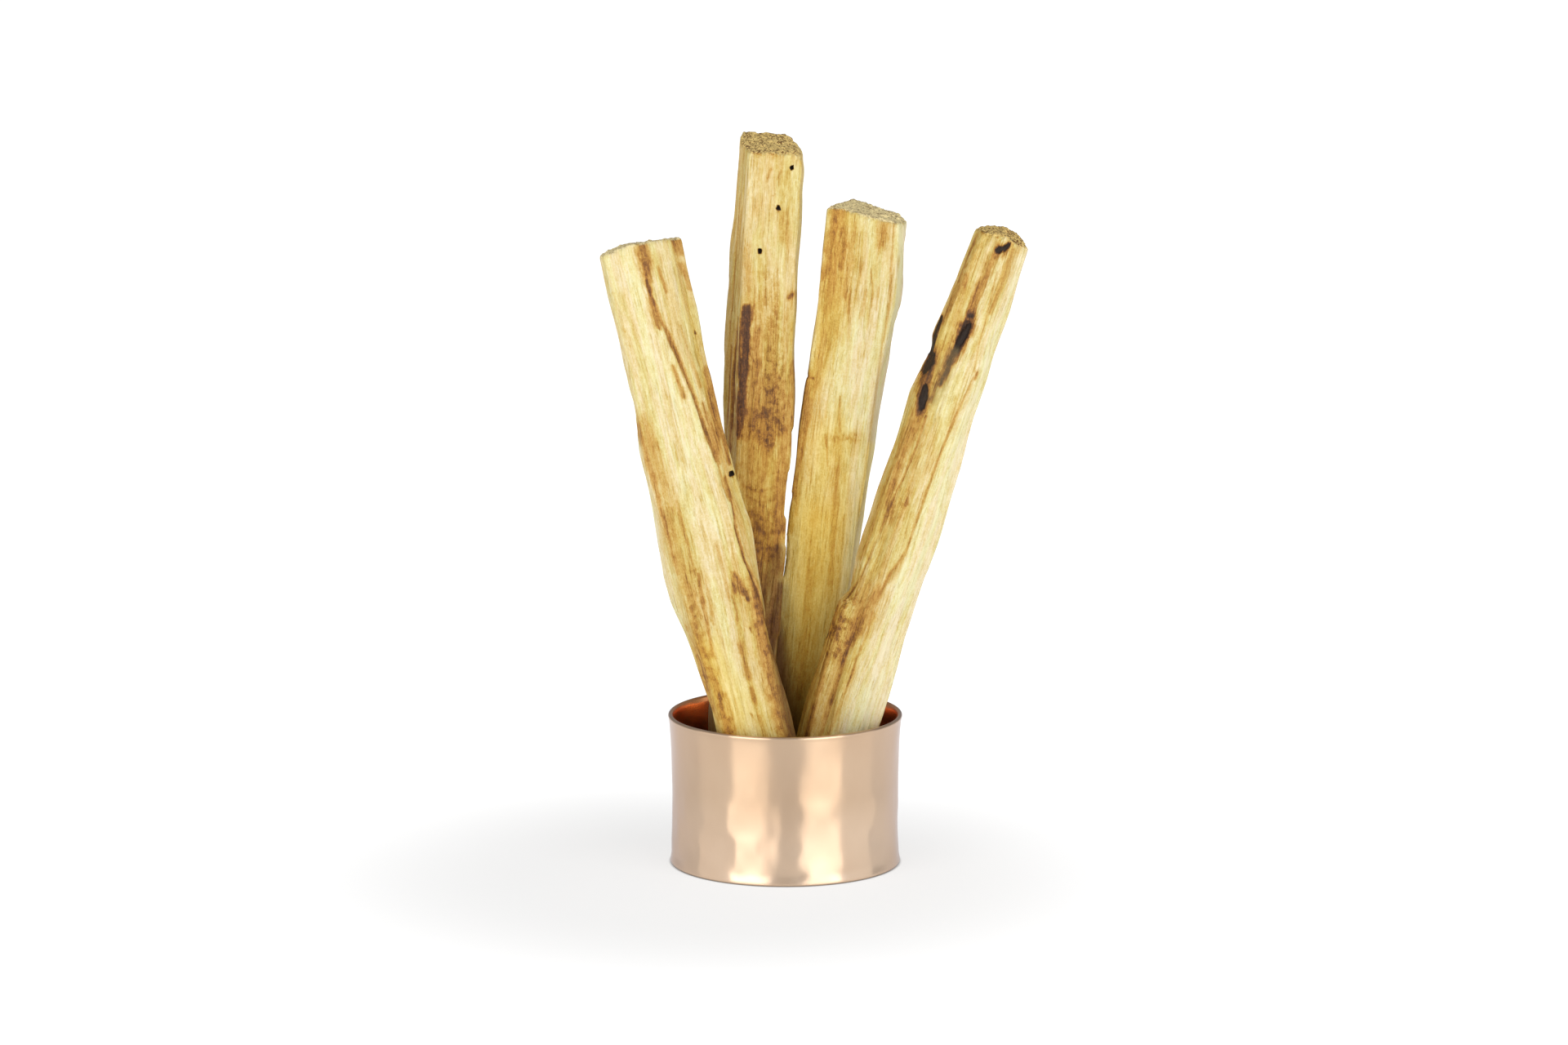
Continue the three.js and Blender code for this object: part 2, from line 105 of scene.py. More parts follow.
# The marks are strokes in the picture: a kind, a strength, how deep it is sunk in mm, and points, each
# (mm down the stick from its head, mm to the right of its axis, half the stroke's width). Strokes of the
# shade kind are no marks on the wood but painted shade, where the sticks crowd together and into the cup.
LEFT_MARKS = [
    ("pale", 0.3, 0, [(4, -2.2, 1.6), (20, -1.8, 1.6), (36, 0.6, 1.8), (50, 1.4, 2.4)]),
    ("pale", 0.5, 0, [(34, -8, 0.7), (50, -8, 0.8), (66, -7.6, 0.8)]),
    ("pale", 0.4, 0, [(66, -2.2, 1.2), (78, -1.4, 1.4), (88, -1, 1)]),
    ("brown", 0.75, 0.05, [(-0.6, 0.5, 0.7), (3, 0.3, 0.95), (6, 0, 0.6), (8.4, -0.1, 0.35)]),
    ("brown", 0.9, 0.14, [(5, -0.1, 0.2), (8.6, -0.1, 0.28), (12.6, 0.5, 0.28)]),
    ("brown", 0.7, 0.06, [(8.6, -0.2, 0.35), (11.6, -0.2, 0.6), (13.8, -0.1, 0.55), (14.8, 0.1, 0.3)]),
    ("brown", 0.75, 0.3, [(12.6, 0.4, 0.28), (16, 1.2, 0.36), (20, 2, 0.36), (25, 2.8, 0.32)]),
    ("brown", 0.75, 0.3, [(25, 2.8, 0.32), (30, 3.5, 0.42), (35, 4, 0.42), (39, 4.5, 0.3)]),
    ("pale", 0.7, -0.06, [(15, 0.3, 0.3), (20, 1.2, 0.3), (25, 2, 0.3)]),
    ("brown", 0.6, 0.05, [(21.4, 0.8, 0.3), (24, 1.1, 0.4), (27, 1.4, 0.35)]),
    ("brown", 0.5, 0.04, [(29, 4.3, 0.5), (33, 4.6, 0.6), (36, 4.9, 0.6), (39.6, 4.7, 0.3)]),
    ("brown", 0.3, 0.03, [(15, 3.6, 0.2), (20, 3.9, 0.3), (26, 4.4, 0.25)]),
    ("brown", 0.6, 0.14, [(39, 4.5, 0.16), (43.4, 4.5, 0.16), (46, 5, 0.2)]),
    ("brown", 0.6, 0.06, [(42, 5, 0.3), (44.4, 5, 0.6), (46, 5.1, 0.4)]),
    ("brown", 0.8, 0.22, [(46.4, 5.3, 0.15), (51, 4.9, 0.2), (56, 5.1, 0.2), (62.4, 6, 0.2), (74, 6.3, 0.2)]),
    ("brown", 0.55, 0.05, [(30, -7.3, 0.5), (39, -6.9, 0.5), (47, -6.7, 0.4), (56, -6.5, 0.4)]),
    ("brown", 0.25, 0, [(29, -6.6, 0.8), (34, -6, 1.2), (40, -6, 1.2), (46, -6, 1)]),
    ("brown", 0.32, 0.02, [(44, -6.3, 0.8), (52, -6.1, 1.1), (60, -5.9, 1.2), (70, -6, 1), (80, -6.2, 0.6)]),
    ("brown", 0.3, 0.03, [(44, -4, 0.25), (52, -3.8, 0.3), (57, -3.7, 0.3)]),
    ("brown", 0.5, 0, [(70.6, -6.4, 0.5), (74, -6, 0.5)]),
    ("brown", 0.5, 0.04, [(57, -3.2, 0.25), (62, -3.4, 0.35), (66, -3.6, 0.3), (71, -4, 0.3)]),
    ("brown", 0.35, 0.03, [(58, -2.2, 0.15), (66, -2.4, 0.2)]),
    ("brown", 0.4, 0.03, [(73, -5, 0.4), (78, -4.4, 0.5), (88, -4, 0.7)]),
    ("brown", 0.65, 0.06, [(58.2, 2.8, 0.4), (60.2, 3.4, 0.65), (63, 4.2, 0.65)]),
    ("brown", 0.6, 0.05, [(58.6, 2.8, 0.35), (60, 2.5, 0.5), (61.4, 2.3, 0.35)]),
    ("brown", 0.35, 0, [(59.6, 3, 0.6), (61.4, 3.2, 0.5)]),
    ("brown", 0.35, 0, [(53, 1, 0.35), (57, 1.2, 0.4), (62, 1, 0.3)]),
    ("brown", 0.3, 0.03, [(62, 1.6, 0.15), (64.5, 1.9, 0.2), (67, 1.2, 0.15)]),
    ("brown", 0.6, 0, [(-0.2, 6.2, 0.9), (1.4, 6.4, 0.9), (3, 6.7, 0.6)]),
    ("brown", 0.5, 0, [(5, 6.3, 0.5), (9.4, 6.7, 0.4)]),
    ("brown", 0.45, 0, [(4.4, 2.3, 0.3), (8.8, 2.6, 0.25)]),
    ("brown", 0.5, 0, [(23, 6.2, 0.4), (28, 6.1, 0.8), (31, 5.9, 0.9), (34.6, 5.8, 0.6)]),
    ("brown", 0.6, 0.04, [(35, 6.2, 0.3), (40, 6.3, 0.25)]),
    ("dark", 0.6, 0.15, [(16.7, 5.9, 0.18), (16.9, 5.9, 0.18)]),
    ("amber", 0.6, 0, [(0, 5.8, 1.4), (8, 5.6, 1.4), (22, 5.4, 1.4)]),
    ("amber", 0.55, 0, [(3, 2.6, 1.1), (14, 3.2, 1.5), (22, 4.2, 1.5), (30, 5, 1.2)]),
    ("pale", 0.5, 0, [(4, 3.9, 0.4), (9, 4.2, 0.5)]),
    ("amber", 0.85, 0, [(24, 5.2, 1.3), (40, 5.8, 1.2), (56, 6, 1)]),
    ("amber", 0.3, 0, [(8, -4.6, 0.6), (22, -4, 0.8)]),
    ("amber", 0.5, 0, [(29, -5.8, 1), (40, -5.2, 1.7), (46, -5, 1.8)]),
    ("amber", 0.8, 0, [(46, -5.2, 1.5), (58, -4.8, 2), (76, -4.8, 2), (94, -4.6, 1.8)]),
    ("amber", 0.7, 0, [(57, 3.4, 1.6), (66, 3.4, 2.2), (78, 3.6, 2.6), (94, 3.4, 2.8)]),
    ("amber", 0.85, 0, [(58, 5.6, 1.2), (94, 5.4, 1.4)]),
    ("speck", 0.35, 0, [(62, 4, 1.8), (76, 4.4, 1.6), (90, 4.4, 1.6)]),
    ("speck", 0.4, 0, [(56, -3.6, 1.2), (66, -5, 1.6), (86, -4.6, 1.8)]),
    ("pale", 0.6, 0, [(64, 2.6, 0.5), (76, 2.9, 0.6), (88, 3.2, 0.5)]),
    ("brown", 0.35, 0.02, [(70.5, 1, 0.5), (76, 1.1, 0.55)]),
    ("brown", 0.4, 0.04, [(78, 1.2, 0.3), (80.4, 1.3, 0.35)]),
    ("brown", 0.25, 0, [(83, 1.4, 0.35), (88, 1.9, 0.4)]),
    ("gold", 0.6, 0, [(70, -4.6, 2.4), (80, -3, 4), (94, -1, 7)]),
    ("amber", 0.4, 0, [(82, -3, 4), (94, -1, 7)]),
    ("brown", 0.3, 0.03, [(78, -3.4, 0.5), (88, -3, 0.6)]),
    ("brown", 0.4, 0, [(60, 5.4, 0.8), (72, 5.2, 1), (92, 5, 1.4)]),
    # Painted shade down the right edge, where the stick meets its neighbours low down.
    ("shade", 0.8, 0, [(64, 6.9, 0.4), (74, 6.5, 0.8), (92, 6.2, 1.1)]),
    ("dark", 0.3, 0.08, [(82.2, 0.1, 0.2), (82.8, 0.3, 0.2)]),
    ("dark", 0.3, 0.08, [(68, 3.3, 0.15), (68.6, 3.4, 0.15)]),
]

TALL_MARKS = [
    ("amber", 0.45, 0, [(-1, -5, 1), (14, -5.2, 1)]),
    ("pale", 0.4, 0, [(4, -0.4, 2.6), (14, -0.6, 2.6), (20, 0.4, 3), (27, 1.8, 2.2)]),
    ("pale", 0.4, 0, [(5, 4.2, 0.8), (14, 4.6, 0.8), (26, 4, 0.8)]),
    ("speck", 1, 0, [(2.6, -2.6, 0.8), (2.8, 0.6, 0.9), (2.4, 2.6, 0.7)]),
    ("amber", 0.5, 0, [(12, -5.2, 1), (24, -5.3, 1.1), (34, -5.4, 1.2)]),
    ("amber", 0.75, 0, [(32, -5.4, 1.2), (56, -4.8, 1.3), (90, -4.6, 1.3)]),
    ("brown", 0.5, 0.16, [(31, -4.1, 0.12), (42, -4.2, 0.2), (54, -4.1, 0.2)]),
    ("brown", 0.3, 0.1, [(10, -5, 0.12), (30, -5.2, 0.14)]),
    ("brown", 0.4, 0.1, [(36, -5, 0.14), (52, -4.7, 0.16)]),
    ("brown", 0.22, 0, [(19, -2.8, 0.8), (28, -2.8, 1)]),
    ("brown", 1, 0.04, [(29.4, -2.6, 0.85), (38, -2.5, 0.9), (46, -2.6, 0.8), (51, -2.8, 0.5)]),
    ("dark", 0.07, 0, [(29.5, -2.6, 0.7), (38, -2.6, 0.75), (46, -2.7, 0.6)]),
    ("brown", 0.4, 0, [(33, -1.1, 0.9), (42, -0.7, 1.1), (48, -1.5, 0.9)]),
    ("brown", 0.7, 0.05, [(26.6, 4.9, 0.3), (27.3, 4.3, 0.35)]),
    ("brown", 0.4, 0.02, [(7.8, -0.7, 0.15), (5.4, 0.1, 0.25)]),
    ("brown", 0.35, 0.02, [(7.2, 1.1, 0.12), (5.8, 1.7, 0.2)]),
    ("brown", 0.3, 0.02, [(10.2, 0.3, 0.15), (9.7, 1, 0.15)]),
    ("brown", 0.16, 0, [(10.5, -1.6, 0.8), (12.8, -1.8, 0.8)]),
    ("brown", 0.18, 0, [(13.2, 2.8, 1.2), (17, 3.2, 1)]),
    ("amber", 0.3, 0, [(4, 1.4, 3.4), (16, 1, 3.4)]),
    ("amber", 0.35, 0, [(28, 2.6, 2.4), (40, 2.6, 3)]),
    ("amber", 0.6, 0, [(40, 1.8, 3.6), (50, 1.2, 4)]),
    ("amber", 0.75, 0, [(50, 1, 5), (92, 1, 5.6)]),
    ("speck", 0.3, 0, [(3, 1, 3.6), (26, 1, 3.6)]),
    ("speck", 0.7, 0, [(24, 1, 1.8), (34, 2, 2.4), (41, 2.2, 2.6)]),
    ("speck", 0.6, 0, [(41.6, 2.8, 2.4), (47, 2.4, 3), (51, 2.2, 2.6)]),
    ("speck", 0.35, 0, [(51, 1, 4), (62, 1.6, 4), (68, 2, 4)]),
    ("brown", 0.34, 0, [(42.6, 3.2, 1.8), (47, 2.8, 2.6), (51, 2.4, 2)]),
    ("brown", 0.25, 0.02, [(59.6, -1.6, 0.25), (60.6, 1.2, 0.25), (59.6, 3.6, 0.25)]),
    ("brown", 0.3, 0.02, [(61.4, -1, 0.25), (62.6, 1.6, 0.25), (61.6, 4.2, 0.25)]),
    ("brown", 0.45, 0.04, [(65.6, 0.6, 0.5), (67.6, 2.2, 0.6), (67.2, 4.8, 0.5)]),
    ("brown", 0.3, 0, [(64.6, 1.2, 1.6), (66.8, 2.6, 1.6)]),
    ("brown", 0.2, 0, [(68, 2, 3), (92, 2, 4)]),
    ("brown", 0.28, 0, [(46, 5.4, 0.6), (60, 5, 0.8), (74, 4.4, 1.4), (90, 4, 2.2)]),
    # Painted shade on the lower right, where the sticks crowd into the cup, and on the foot's left edge,
    # darkened as deep shadow by the rim.
    ("shade", 0.6, 0, [(70, 5.2, 0.8), (76, 4.4, 2.6), (84, 3.8, 3.4), (94, 3.4, 4)]),
    ("shade", 0.85, 0, [(76, 5.6, 0.6), (83, 5, 1.4), (94, 4.6, 2.4)]),
    ("shade", 1, 0, [(88, -6.5, 3.4), (98, -6, 5), (108, -5.6, 6)]),
    ("amber", 0.5, -0.3, [(70, 5.9, 0.4), (76, 6, 0.6), (84, 5.8, 0.8)]),
    ("amber", 0.3, 0.3, [(50, 6.3, 0.5), (58, 6.1, 0.6), (64, 6, 0.5)]),
    ("amber", 0.3, 0.5, [(57, 6.2, 0.5), (64, 6.1, 0.6)]),
    ("brown", 0.3, 0, [(35, -1.4, 0.7), (44, -0.8, 1.2), (51, -1.6, 1.2)]),
    ("gold", 0.35, 0, [(52, 1, 4), (72, 2, 4)]),
    # This brown wash on the lower part is painted shade, darker where the sticks crowd into the cup.
    ("brown", 0.42, 0, [(71, 1, 3.4), (80, 2, 4), (92, 2, 4)]),
    ("brown", 0.4, 0, [(38, 5.8, 0.35), (50, 6.1, 0.4), (62, 5.8, 0.35)]),
]

MIDDLE_MARKS = [
    ("amber", 0.9, 0, [(1, -3.8, 2.2), (10, -3.8, 2.7), (18, -3.8, 2.6), (24, -4.4, 2), (30, -5.2, 1.3)]),
    ("brown", 0.4, 0, [(0.8, -5, 1), (5, -5.6, 0.8), (12, -5.8, 0.7)]),
    ("brown", 0.36, 0.03, [(3.6, -3.7, 0.7), (6.4, -3.4, 0.9), (10, -3.2, 0.5)]),
    ("brown", 0.25, 0.03, [(8, -4.4, 0.2), (12, -4, 0.25), (15, -3.8, 0.2)]),
    ("brown", 0.16, 0, [(11, -4.8, 0.9), (14, -4.6, 1.3), (17, -4.6, 1.1)]),
    ("brown", 0.3, 0.03, [(2, -1.6, 0.3), (8, -1.7, 0.3), (15, -1.8, 0.4)]),
    ("amber", 0.75, 0, [(2.2, 3.3, 1.2), (5.4, 3.2, 1.1)]),
    ("brown", 0.12, 0, [(2.6, 3.5, 0.6), (5, 3.4, 0.6)]),
    ("amber", 0.45, 0, [(4, 0, 0.7), (12, 1.4, 2), (18, 1.4, 1.6)]),
    ("pale", 0.9, -0.1, [(11.2, -0.6, 0.2), (16.5, -0.5, 0.28)]),
    ("pale", 0.8, -0.08, [(12.6, 0.4, 0.15), (15.2, 0.9, 0.2)]),
    ("pale", 0.7, -0.08, [(9, 3.8, 0.15), (14, 4.2, 0.2)]),
    ("brown", 0.4, 0.12, [(11.6, -1.2, 0.16), (17.5, -1, 0.2)]),
    ("brown", 0.35, 0.12, [(10, 1.9, 0.15), (13, 2.6, 0.18), (16.4, 2.8, 0.14)]),
    ("brown", 0.35, 0.12, [(13.4, 1.6, 0.18), (16, 1.4, 0.3), (18.4, 1, 0.2)]),
    ("brown", 0.3, 0.12, [(12.8, 3.6, 0.2), (16.6, 3.7, 0.2)]),
    ("brown", 0.3, 0.12, [(8.8, 0.6, 0.12), (11.4, 0.3, 0.16)]),
    ("brown", 0.6, 0.14, [(29.2, -6.8, 0.25), (29.6, -5.6, 0.2)]),
    ("amber", 1, 0, [(28.5, -6.2, 1), (37, -6.2, 1.2), (50, -6.3, 1), (56, -6.4, 0.5)]),
    ("brown", 0.25, 0, [(29.5, -6.3, 0.7), (35, -6.3, 0.8), (38.6, -6, 0.8)]),
    ("brown", 0.25, 0, [(40, -6.5, 0.6), (50, -6.7, 0.5)]),
    ("brown", 0.22, 0.02, [(32.6, -4.1, 0.14), (36, -3.7, 0.16)]),
    ("brown", 0.35, 0.04, [(32, -0.7, 0.14), (35.6, -0.4, 0.18), (38, 0, 0.2)]),
    ("brown", 0.22, 0.04, [(39.2, -1.6, 0.6), (39.4, 0.4, 0.5), (38.2, 2, 0.4), (38, 3.6, 0.3)]),
    ("amber", 0.45, 0, [(40.6, -2, 1.5), (40.6, 1.6, 1.5), (39.8, 3.6, 1.2)]),
    ("speck", 0.8, 0, [(38.6, 0.4, 0.9), (38.6, 3.4, 0.9)]),
    # The gold and pale strokes down the right facet are partly the wood's own pale colour and partly painted
    # light, lifting the facet where the right stick shades it.
    ("gold", 0.7, 0, [(40, 5.6, 0.8), (56, 5, 1.6), (72, 4.4, 2.2)]),
    ("pale", 1.2, 0, [(44, 5.2, 1), (56, 4.6, 1.4), (66, 4.6, 1.4)]),
    ("brown", 0.4, 0.04, [(38.8, -2.4, 0.15), (41, -1.9, 0.2), (44, -1.4, 0.14)]),
    ("amber", 0.3, 0, [(40, -2.4, 3.6), (52, -2.2, 4.2)]),
    ("amber", 0.6, 0, [(40, 0.2, 0.9), (46, 0.6, 1.1), (56, 1.1, 1.3), (66, 1.5, 1.4)]),
    ("brown", 0.25, 0.02, [(44, 0.3, 0.4), (50, 0.8, 0.5), (56, 1, 0.4), (64, 1.5, 0.4)]),
    ("amber", 0.35, 0, [(52, -1.8, 4.6), (64, -1.8, 4.8)]),
    ("amber", 0.5, 0, [(60, -2, 4.4), (70, -1.6, 4.8), (92, 0, 6)]),
    ("brown", 0.22, 0.02, [(62, -2.2, 0.4), (72, -1.8, 0.6), (84, -1.4, 0.6)]),
    ("brown", 0.25, 0.02, [(52, 2.4, 0.2), (60, 2.9, 0.25), (68, 3, 0.3)]),
    ("amber", 0.6, 0, [(74, -1.6, 4.6), (92, 0, 6)]),
    # Painted shade on the lower left, between the sticks where they crowd into the cup.
    ("shade", 0.4, 0, [(66, -6.6, 1), (74, -5.8, 2.2), (82, -4.8, 3), (94, -2, 4.4)]),
    ("shade", 1, 0, [(71, -6.6, 0.7), (77, -5.8, 1.7), (84, -4.4, 2.6), (94, -2, 4.2)]),
    ("amber", 0.5, -0.3, [(69, -7, 0.4), (74, -6.5, 0.6), (80, -6.2, 0.8)]),
    ("amber", 0.3, 0.3, [(50, -7.1, 0.5), (56, -7.1, 0.6)]),
    ("pale", 0.3, 0.5, [(57, -7.1, 0.5), (63, -7, 0.6)]),
    ("gold", 0.55, 0, [(40, -2, 4.6), (50, -1.6, 5.6)]),
    ("gold", 1, 0, [(54, -1.6, 5.6), (92, 0, 6.8)]),
    ("gold", 0.4, 0, [(0, -4.4, 1.8), (18, -4.4, 2.4), (32, -5.4, 1.4)]),
    ("brown", 0.4, 0.12, [
        (0.4, 4.9, 0.16), (10, 5.4, 0.2), (15, 5.9, 0.2), (22, 5.4, 0.18), (52, 4.9, 0.16),
    ]),
    ("pale", 0.6, 0, [(18, 2.2, 2), (28, 1.8, 3), (36, 2.6, 2.4)]),
    # Partly the pale edge of the wood and partly painted light on the right facet, which the right stick
    # shades.
    ("pale", 1.6, 0, [(2, 6.2, 0.7), (14, 6.9, 0.8), (26, 6.3, 0.8), (46, 5.6, 0.9), (66, 5.2, 0.9)]),
    ("pale", 0.4, 0, [(38, 3.2, 1.2), (56, 3.6, 1.2), (62, 4.2, 0.8)]),
    ("pale", 0.5, 0, [(9, 3.2, 1.4), (18, 3.4, 1.8)]),
    ("pale", 0.3, 0, [(29, -3.4, 1.2), (35, -3, 1)]),
]

RIGHT_MARKS = [
    ("amber", 0.75, 0, [(0, -2.8, 1.8), (12, -3, 2.1), (24, -3.2, 2), (36, -4, 2.2)]),
    ("amber", 0.4, 0, [(1, 2.6, 1.6), (6, 2.4, 1), (14, 1.8, 0.9)]),
    ("pale", 0.5, 0, [(2.8, -1.6, 0.6), (6, -1.8, 0.8), (9.6, -2, 0.5)]),
    ("amber", 0.4, 0, [(10, -0.8, 1.4), (24, -1.6, 1.6), (32, -2.2, 1.4)]),
    ("brown", 0.4, 0, [(2, -3.4, 0.3), (8, -4, 0.4), (12, -4, 0.5), (18, -4.4, 0.4)]),
    ("brown", 0.35, 0, [(9, -3.2, 0.4), (10.8, -3.1, 0.4)]),
    ("brown", 0.55, 0.04, [(4.2, 0.3, 0.7), (8, 0.1, 0.65), (11, -0.4, 0.8), (15, -0.5, 0.8)]),
    ("brown", 0.4, 0.02, [(2.6, 3, 0.5), (8, 2.9, 0.5), (14, 2.6, 0.3)]),
    ("dark", 0.7, 0.35, [(2, 2.1, 0.3), (2.8, 1.3, 0.55), (3.4, 0.7, 0.6)]),
    ("brown", 0.7, 0, [(1.8, 2.2, 0.5), (3.2, 1.2, 1.1), (4.6, 0.5, 0.7)]),
    ("dark", 0.55, 0.4, [(17, -0.1, 0.3), (18.6, -0.4, 0.55), (20.4, -0.8, 0.55), (21.2, -1, 0.35)]),
    ("dark", 0.25, 0, [(15.6, -0.4, 0.5), (18.6, -0.5, 0.95), (21.6, -1, 0.7)]),
    ("brown", 0.9, 0, [(14.4, -0.3, 0.7), (17, -0.3, 1.2), (21.5, -0.8, 1.2), (24, -1.2, 0.8)]),
    ("dark", 0.8, 0.1, [(17, -5, 0.25), (20, -5.2, 0.4), (23.4, -5, 0.5)]),
    ("dark", 0.55, 0.3, [(23.6, -4.5, 0.35), (25.2, -4.8, 0.8), (26.8, -5.3, 0.6)]),
    ("dark", 0.6, 0.4, [(29.4, -4.1, 0.4), (31.4, -3.8, 0.65), (33, -3.5, 0.4)]),
    ("dark", 0.12, 0, [(26, -4.8, 1.1), (31, -4, 1), (32.6, -3.7, 0.5)]),
    ("brown", 0.6, 0, [(23, -5, 1.2), (27, -4.8, 1.2), (31, -4, 1.1), (33.6, -3.7, 0.7)]),
    ("brown", 0.2, 0, [(33, -3.8, 1), (37, -4, 0.9)]),
    ("brown", 0.16, 0, [(36, -4, 1), (44, -4.2, 1), (51, -4.4, 0.8)]),
    ("grey", 0.6, 0, [(22, -1.3, 0.8), (26, -1.8, 1.3), (31, -2.3, 0.9)]),
    ("dark", 0.16, 0, [(22.4, -1.3, 0.5), (25.4, -1.6, 0.8), (28, -2, 0.6)]),
    ("speck", 1, 0, [(0.8, -2.6, 0.9), (1, 1.4, 0.9)]),
    ("brown", 0.8, 0.03, [(21.6, -0.9, 0.5), (25, -1.3, 0.5), (28.4, -1.8, 0.4)]),
    ("brown", 0.6, 0.03, [(23, -2, 0.4), (27, -2.4, 0.45), (31.4, -2.5, 0.35)]),
    ("brown", 0.4, 0.1, [(7, 1.6, 0.12), (14, 2.2, 0.14), (20, 2.5, 0.14), (24.4, 3.1, 0.18)]),
    ("brown", 0.7, 0.04, [(24.3, 3.6, 0.2), (25.4, 3.6, 0.25)]),
    ("brown", 0.55, 0.16, [
        (25.3, 3.3, 0.16), (33.1, 2.3, 0.2), (38.9, 1.9, 0.18), (46, 1.6, 0.18), (57.4, 1.4, 0.2),
    ]),
    ("brown", 0.55, 0.16, [(57.4, 1.4, 0.3), (59, 0.9, 0.3), (62, -0.1, 0.3), (66, -0.9, 0.4)]),
    ("brown", 0.3, 0, [(58, 1.6, 0.4), (61, 0.7, 0.5), (63, 0.2, 0.3)]),
    ("brown", 0.5, 0.1, [(34, -2.4, 0.2), (40, -2.4, 0.2), (45, -2.9, 0.2), (50, -3.6, 0.24)]),
    ("amber", 0.9, 0, [(36, -4.4, 1.8), (48, -4.8, 1.6), (60, -5.4, 1.2)]),
    ("amber", 0.6, 0, [(34, -0.8, 1.2), (44, -1.4, 1.4), (52, -2, 2), (66, -2.6, 2.2)]),
    ("brown", 0.2, 0, [(48.5, -3.4, 0.7), (51, -3, 0.9), (53, -2.8, 0.7)]),
    ("speck", 0.7, 0, [(48, -2, 1.3), (51.6, -2.4, 1.3)]),
    ("brown", 0.5, 0.03, [(48.4, -1.1, 0.25), (49.4, -1, 0.3)]),
    ("brown", 0.4, 0.1, [(50, -3.6, 0.2), (60, -4.2, 0.18), (65, -5, 0.2), (68.4, -5.9, 0.2)]),
    ("amber", 1, 0, [(64, -3.8, 2.4), (72, -4, 3.2), (80, -3.8, 3.2), (96, -3.8, 3.2)]),
    ("amber", 0.35, 0, [(66, 0.2, 1), (80, 0.4, 1.2)]),
    ("speck", 0.8, 0, [(68, -5.2, 1.5), (72, -5.2, 1.8), (77, -4.6, 1.6)]),
    ("brown", 0.3, 0, [(69.4, -6.8, 0.7), (73, -6.2, 1.2), (77, -5.4, 1)]),
    ("brown", 0.4, 0.03, [(64.6, -0.8, 0.7), (69, -1.5, 1.2), (72, -2.2, 1.2), (75, -2.9, 0.7)]),
    ("brown", 0.4, 0.06, [(77, -5.8, 0.4), (86, -5.5, 0.5), (96, -5.2, 0.5)]),
    ("brown", 0.45, 0.06, [(75, -3.1, 0.3), (86, -3, 0.35), (96, -2.9, 0.4)]),
    ("brown", 0.35, 0.04, [(75, -1, 0.2), (84, -1.4, 0.25), (96, -1.6, 0.35)]),
    ("dark", 0.3, 0.06, [(74.4, -7, 0.25), (75, -7, 0.25)]),
    ("amber", 1.3, 0, [(70, -7.2, 0.8), (80, -7, 0.9), (96, -6.6, 1.1)]),
    ("gold", 0.6, 0, [(70, -7.2, 0.8), (80, -7, 0.9), (96, -6.6, 1.1)]),
    ("speck", 0.3, 0, [(2, -2, 2.4), (20, -2.6, 2.4), (60, -3.6, 2.4)]),
    ("pale", 0.8, 0, [(4, 5, 0.8), (18, 4.4, 1.1), (40, 4.2, 1.7), (60, 3.8, 2.2)]),
    ("pale", 1.1, 0, [(60, 3.8, 2.2), (90, 3.2, 2.8)]),
    ("pale", 0.3, 0, [(24, 1, 0.9), (36, 0.4, 0.9)]),
]

# Each stick: where its foot's axis stands and how it leans, as the frame has it, in mm and degrees; the
# picture's pixels where the marks' axis begins and ends; and its worm holes, in its own mm, each
# (drop below its head, across to the right, radius).
STICKS = [
    {
        "node": "stick_left", "foot": (-0.05, -11.2), "lean": (1.2, -12.9, 2.4), "length": 109.2,
        "picture": ((783, 300), (924, 897)), "seed": 11, "tone": 0.03, "marks": LEFT_MARKS,
        "holes": [(41.3, 6.2, 0.4)], "golden_end": 0.0,
    },
    {
        "node": "stick_tall", "foot": (-9.2, -0.2), "lean": (1.8, 3.3, -0.6), "length": 124.0,
        "picture": ((946, 168), (913, 740)), "seed": 23, "tone": -0.04, "marks": TALL_MARKS,
        "holes": [(4.2, 3.45, 0.3), (11.1, 1.6, 0.36), (18.5, -1.05, 0.34)], "golden_end": 0.9,
    },
    {
        "node": "stick_middle", "foot": (1.05, 7.0), "lean": (6.3, 6.5, -1.3), "length": 112.9,
        "picture": ((1061, 258), (990, 850)), "seed": 37, "tone": 0.0, "marks": MIDDLE_MARKS,
        "holes": [], "golden_end": 0.1,
    },
    {
        "node": "stick_right", "foot": (3.15, -2.2), "lean": (6.6, 16.8, -3.3), "length": 114.1,
        "picture": ((1225, 282), (1037, 870)), "seed": 53, "tone": 0.02, "marks": RIGHT_MARKS,
        "holes": [], "golden_end": 1.0,
    },
]
MARK_KINDS = ("amber", "brown", "dark", "speck", "pale", "grey", "gold", "shade")

# How ragged and how soft a stroke's edge is. Brown and dark strokes have an amber halo, so much wider in mm.
FRAY_SIZES = ((0.35, 0.35, 4.0), (0.9, 0.9, 2.4), (0.3, 0.3, 0.5))
FRAY = {"dark": 0.16, "gold": 0.0, "shade": 0.0}
USUAL_FRAY = 0.3
SOFTNESS = {"dark": 0.5, "amber": 0.9, "pale": 0.9, "gold": 1.0, "shade": 1.0}
USUAL_SOFTNESS = 0.7
HALO_WIDTH = 0.8
HALO_EDGE = (0.2, 1.2)
HALO_STRENGTH = 0.8

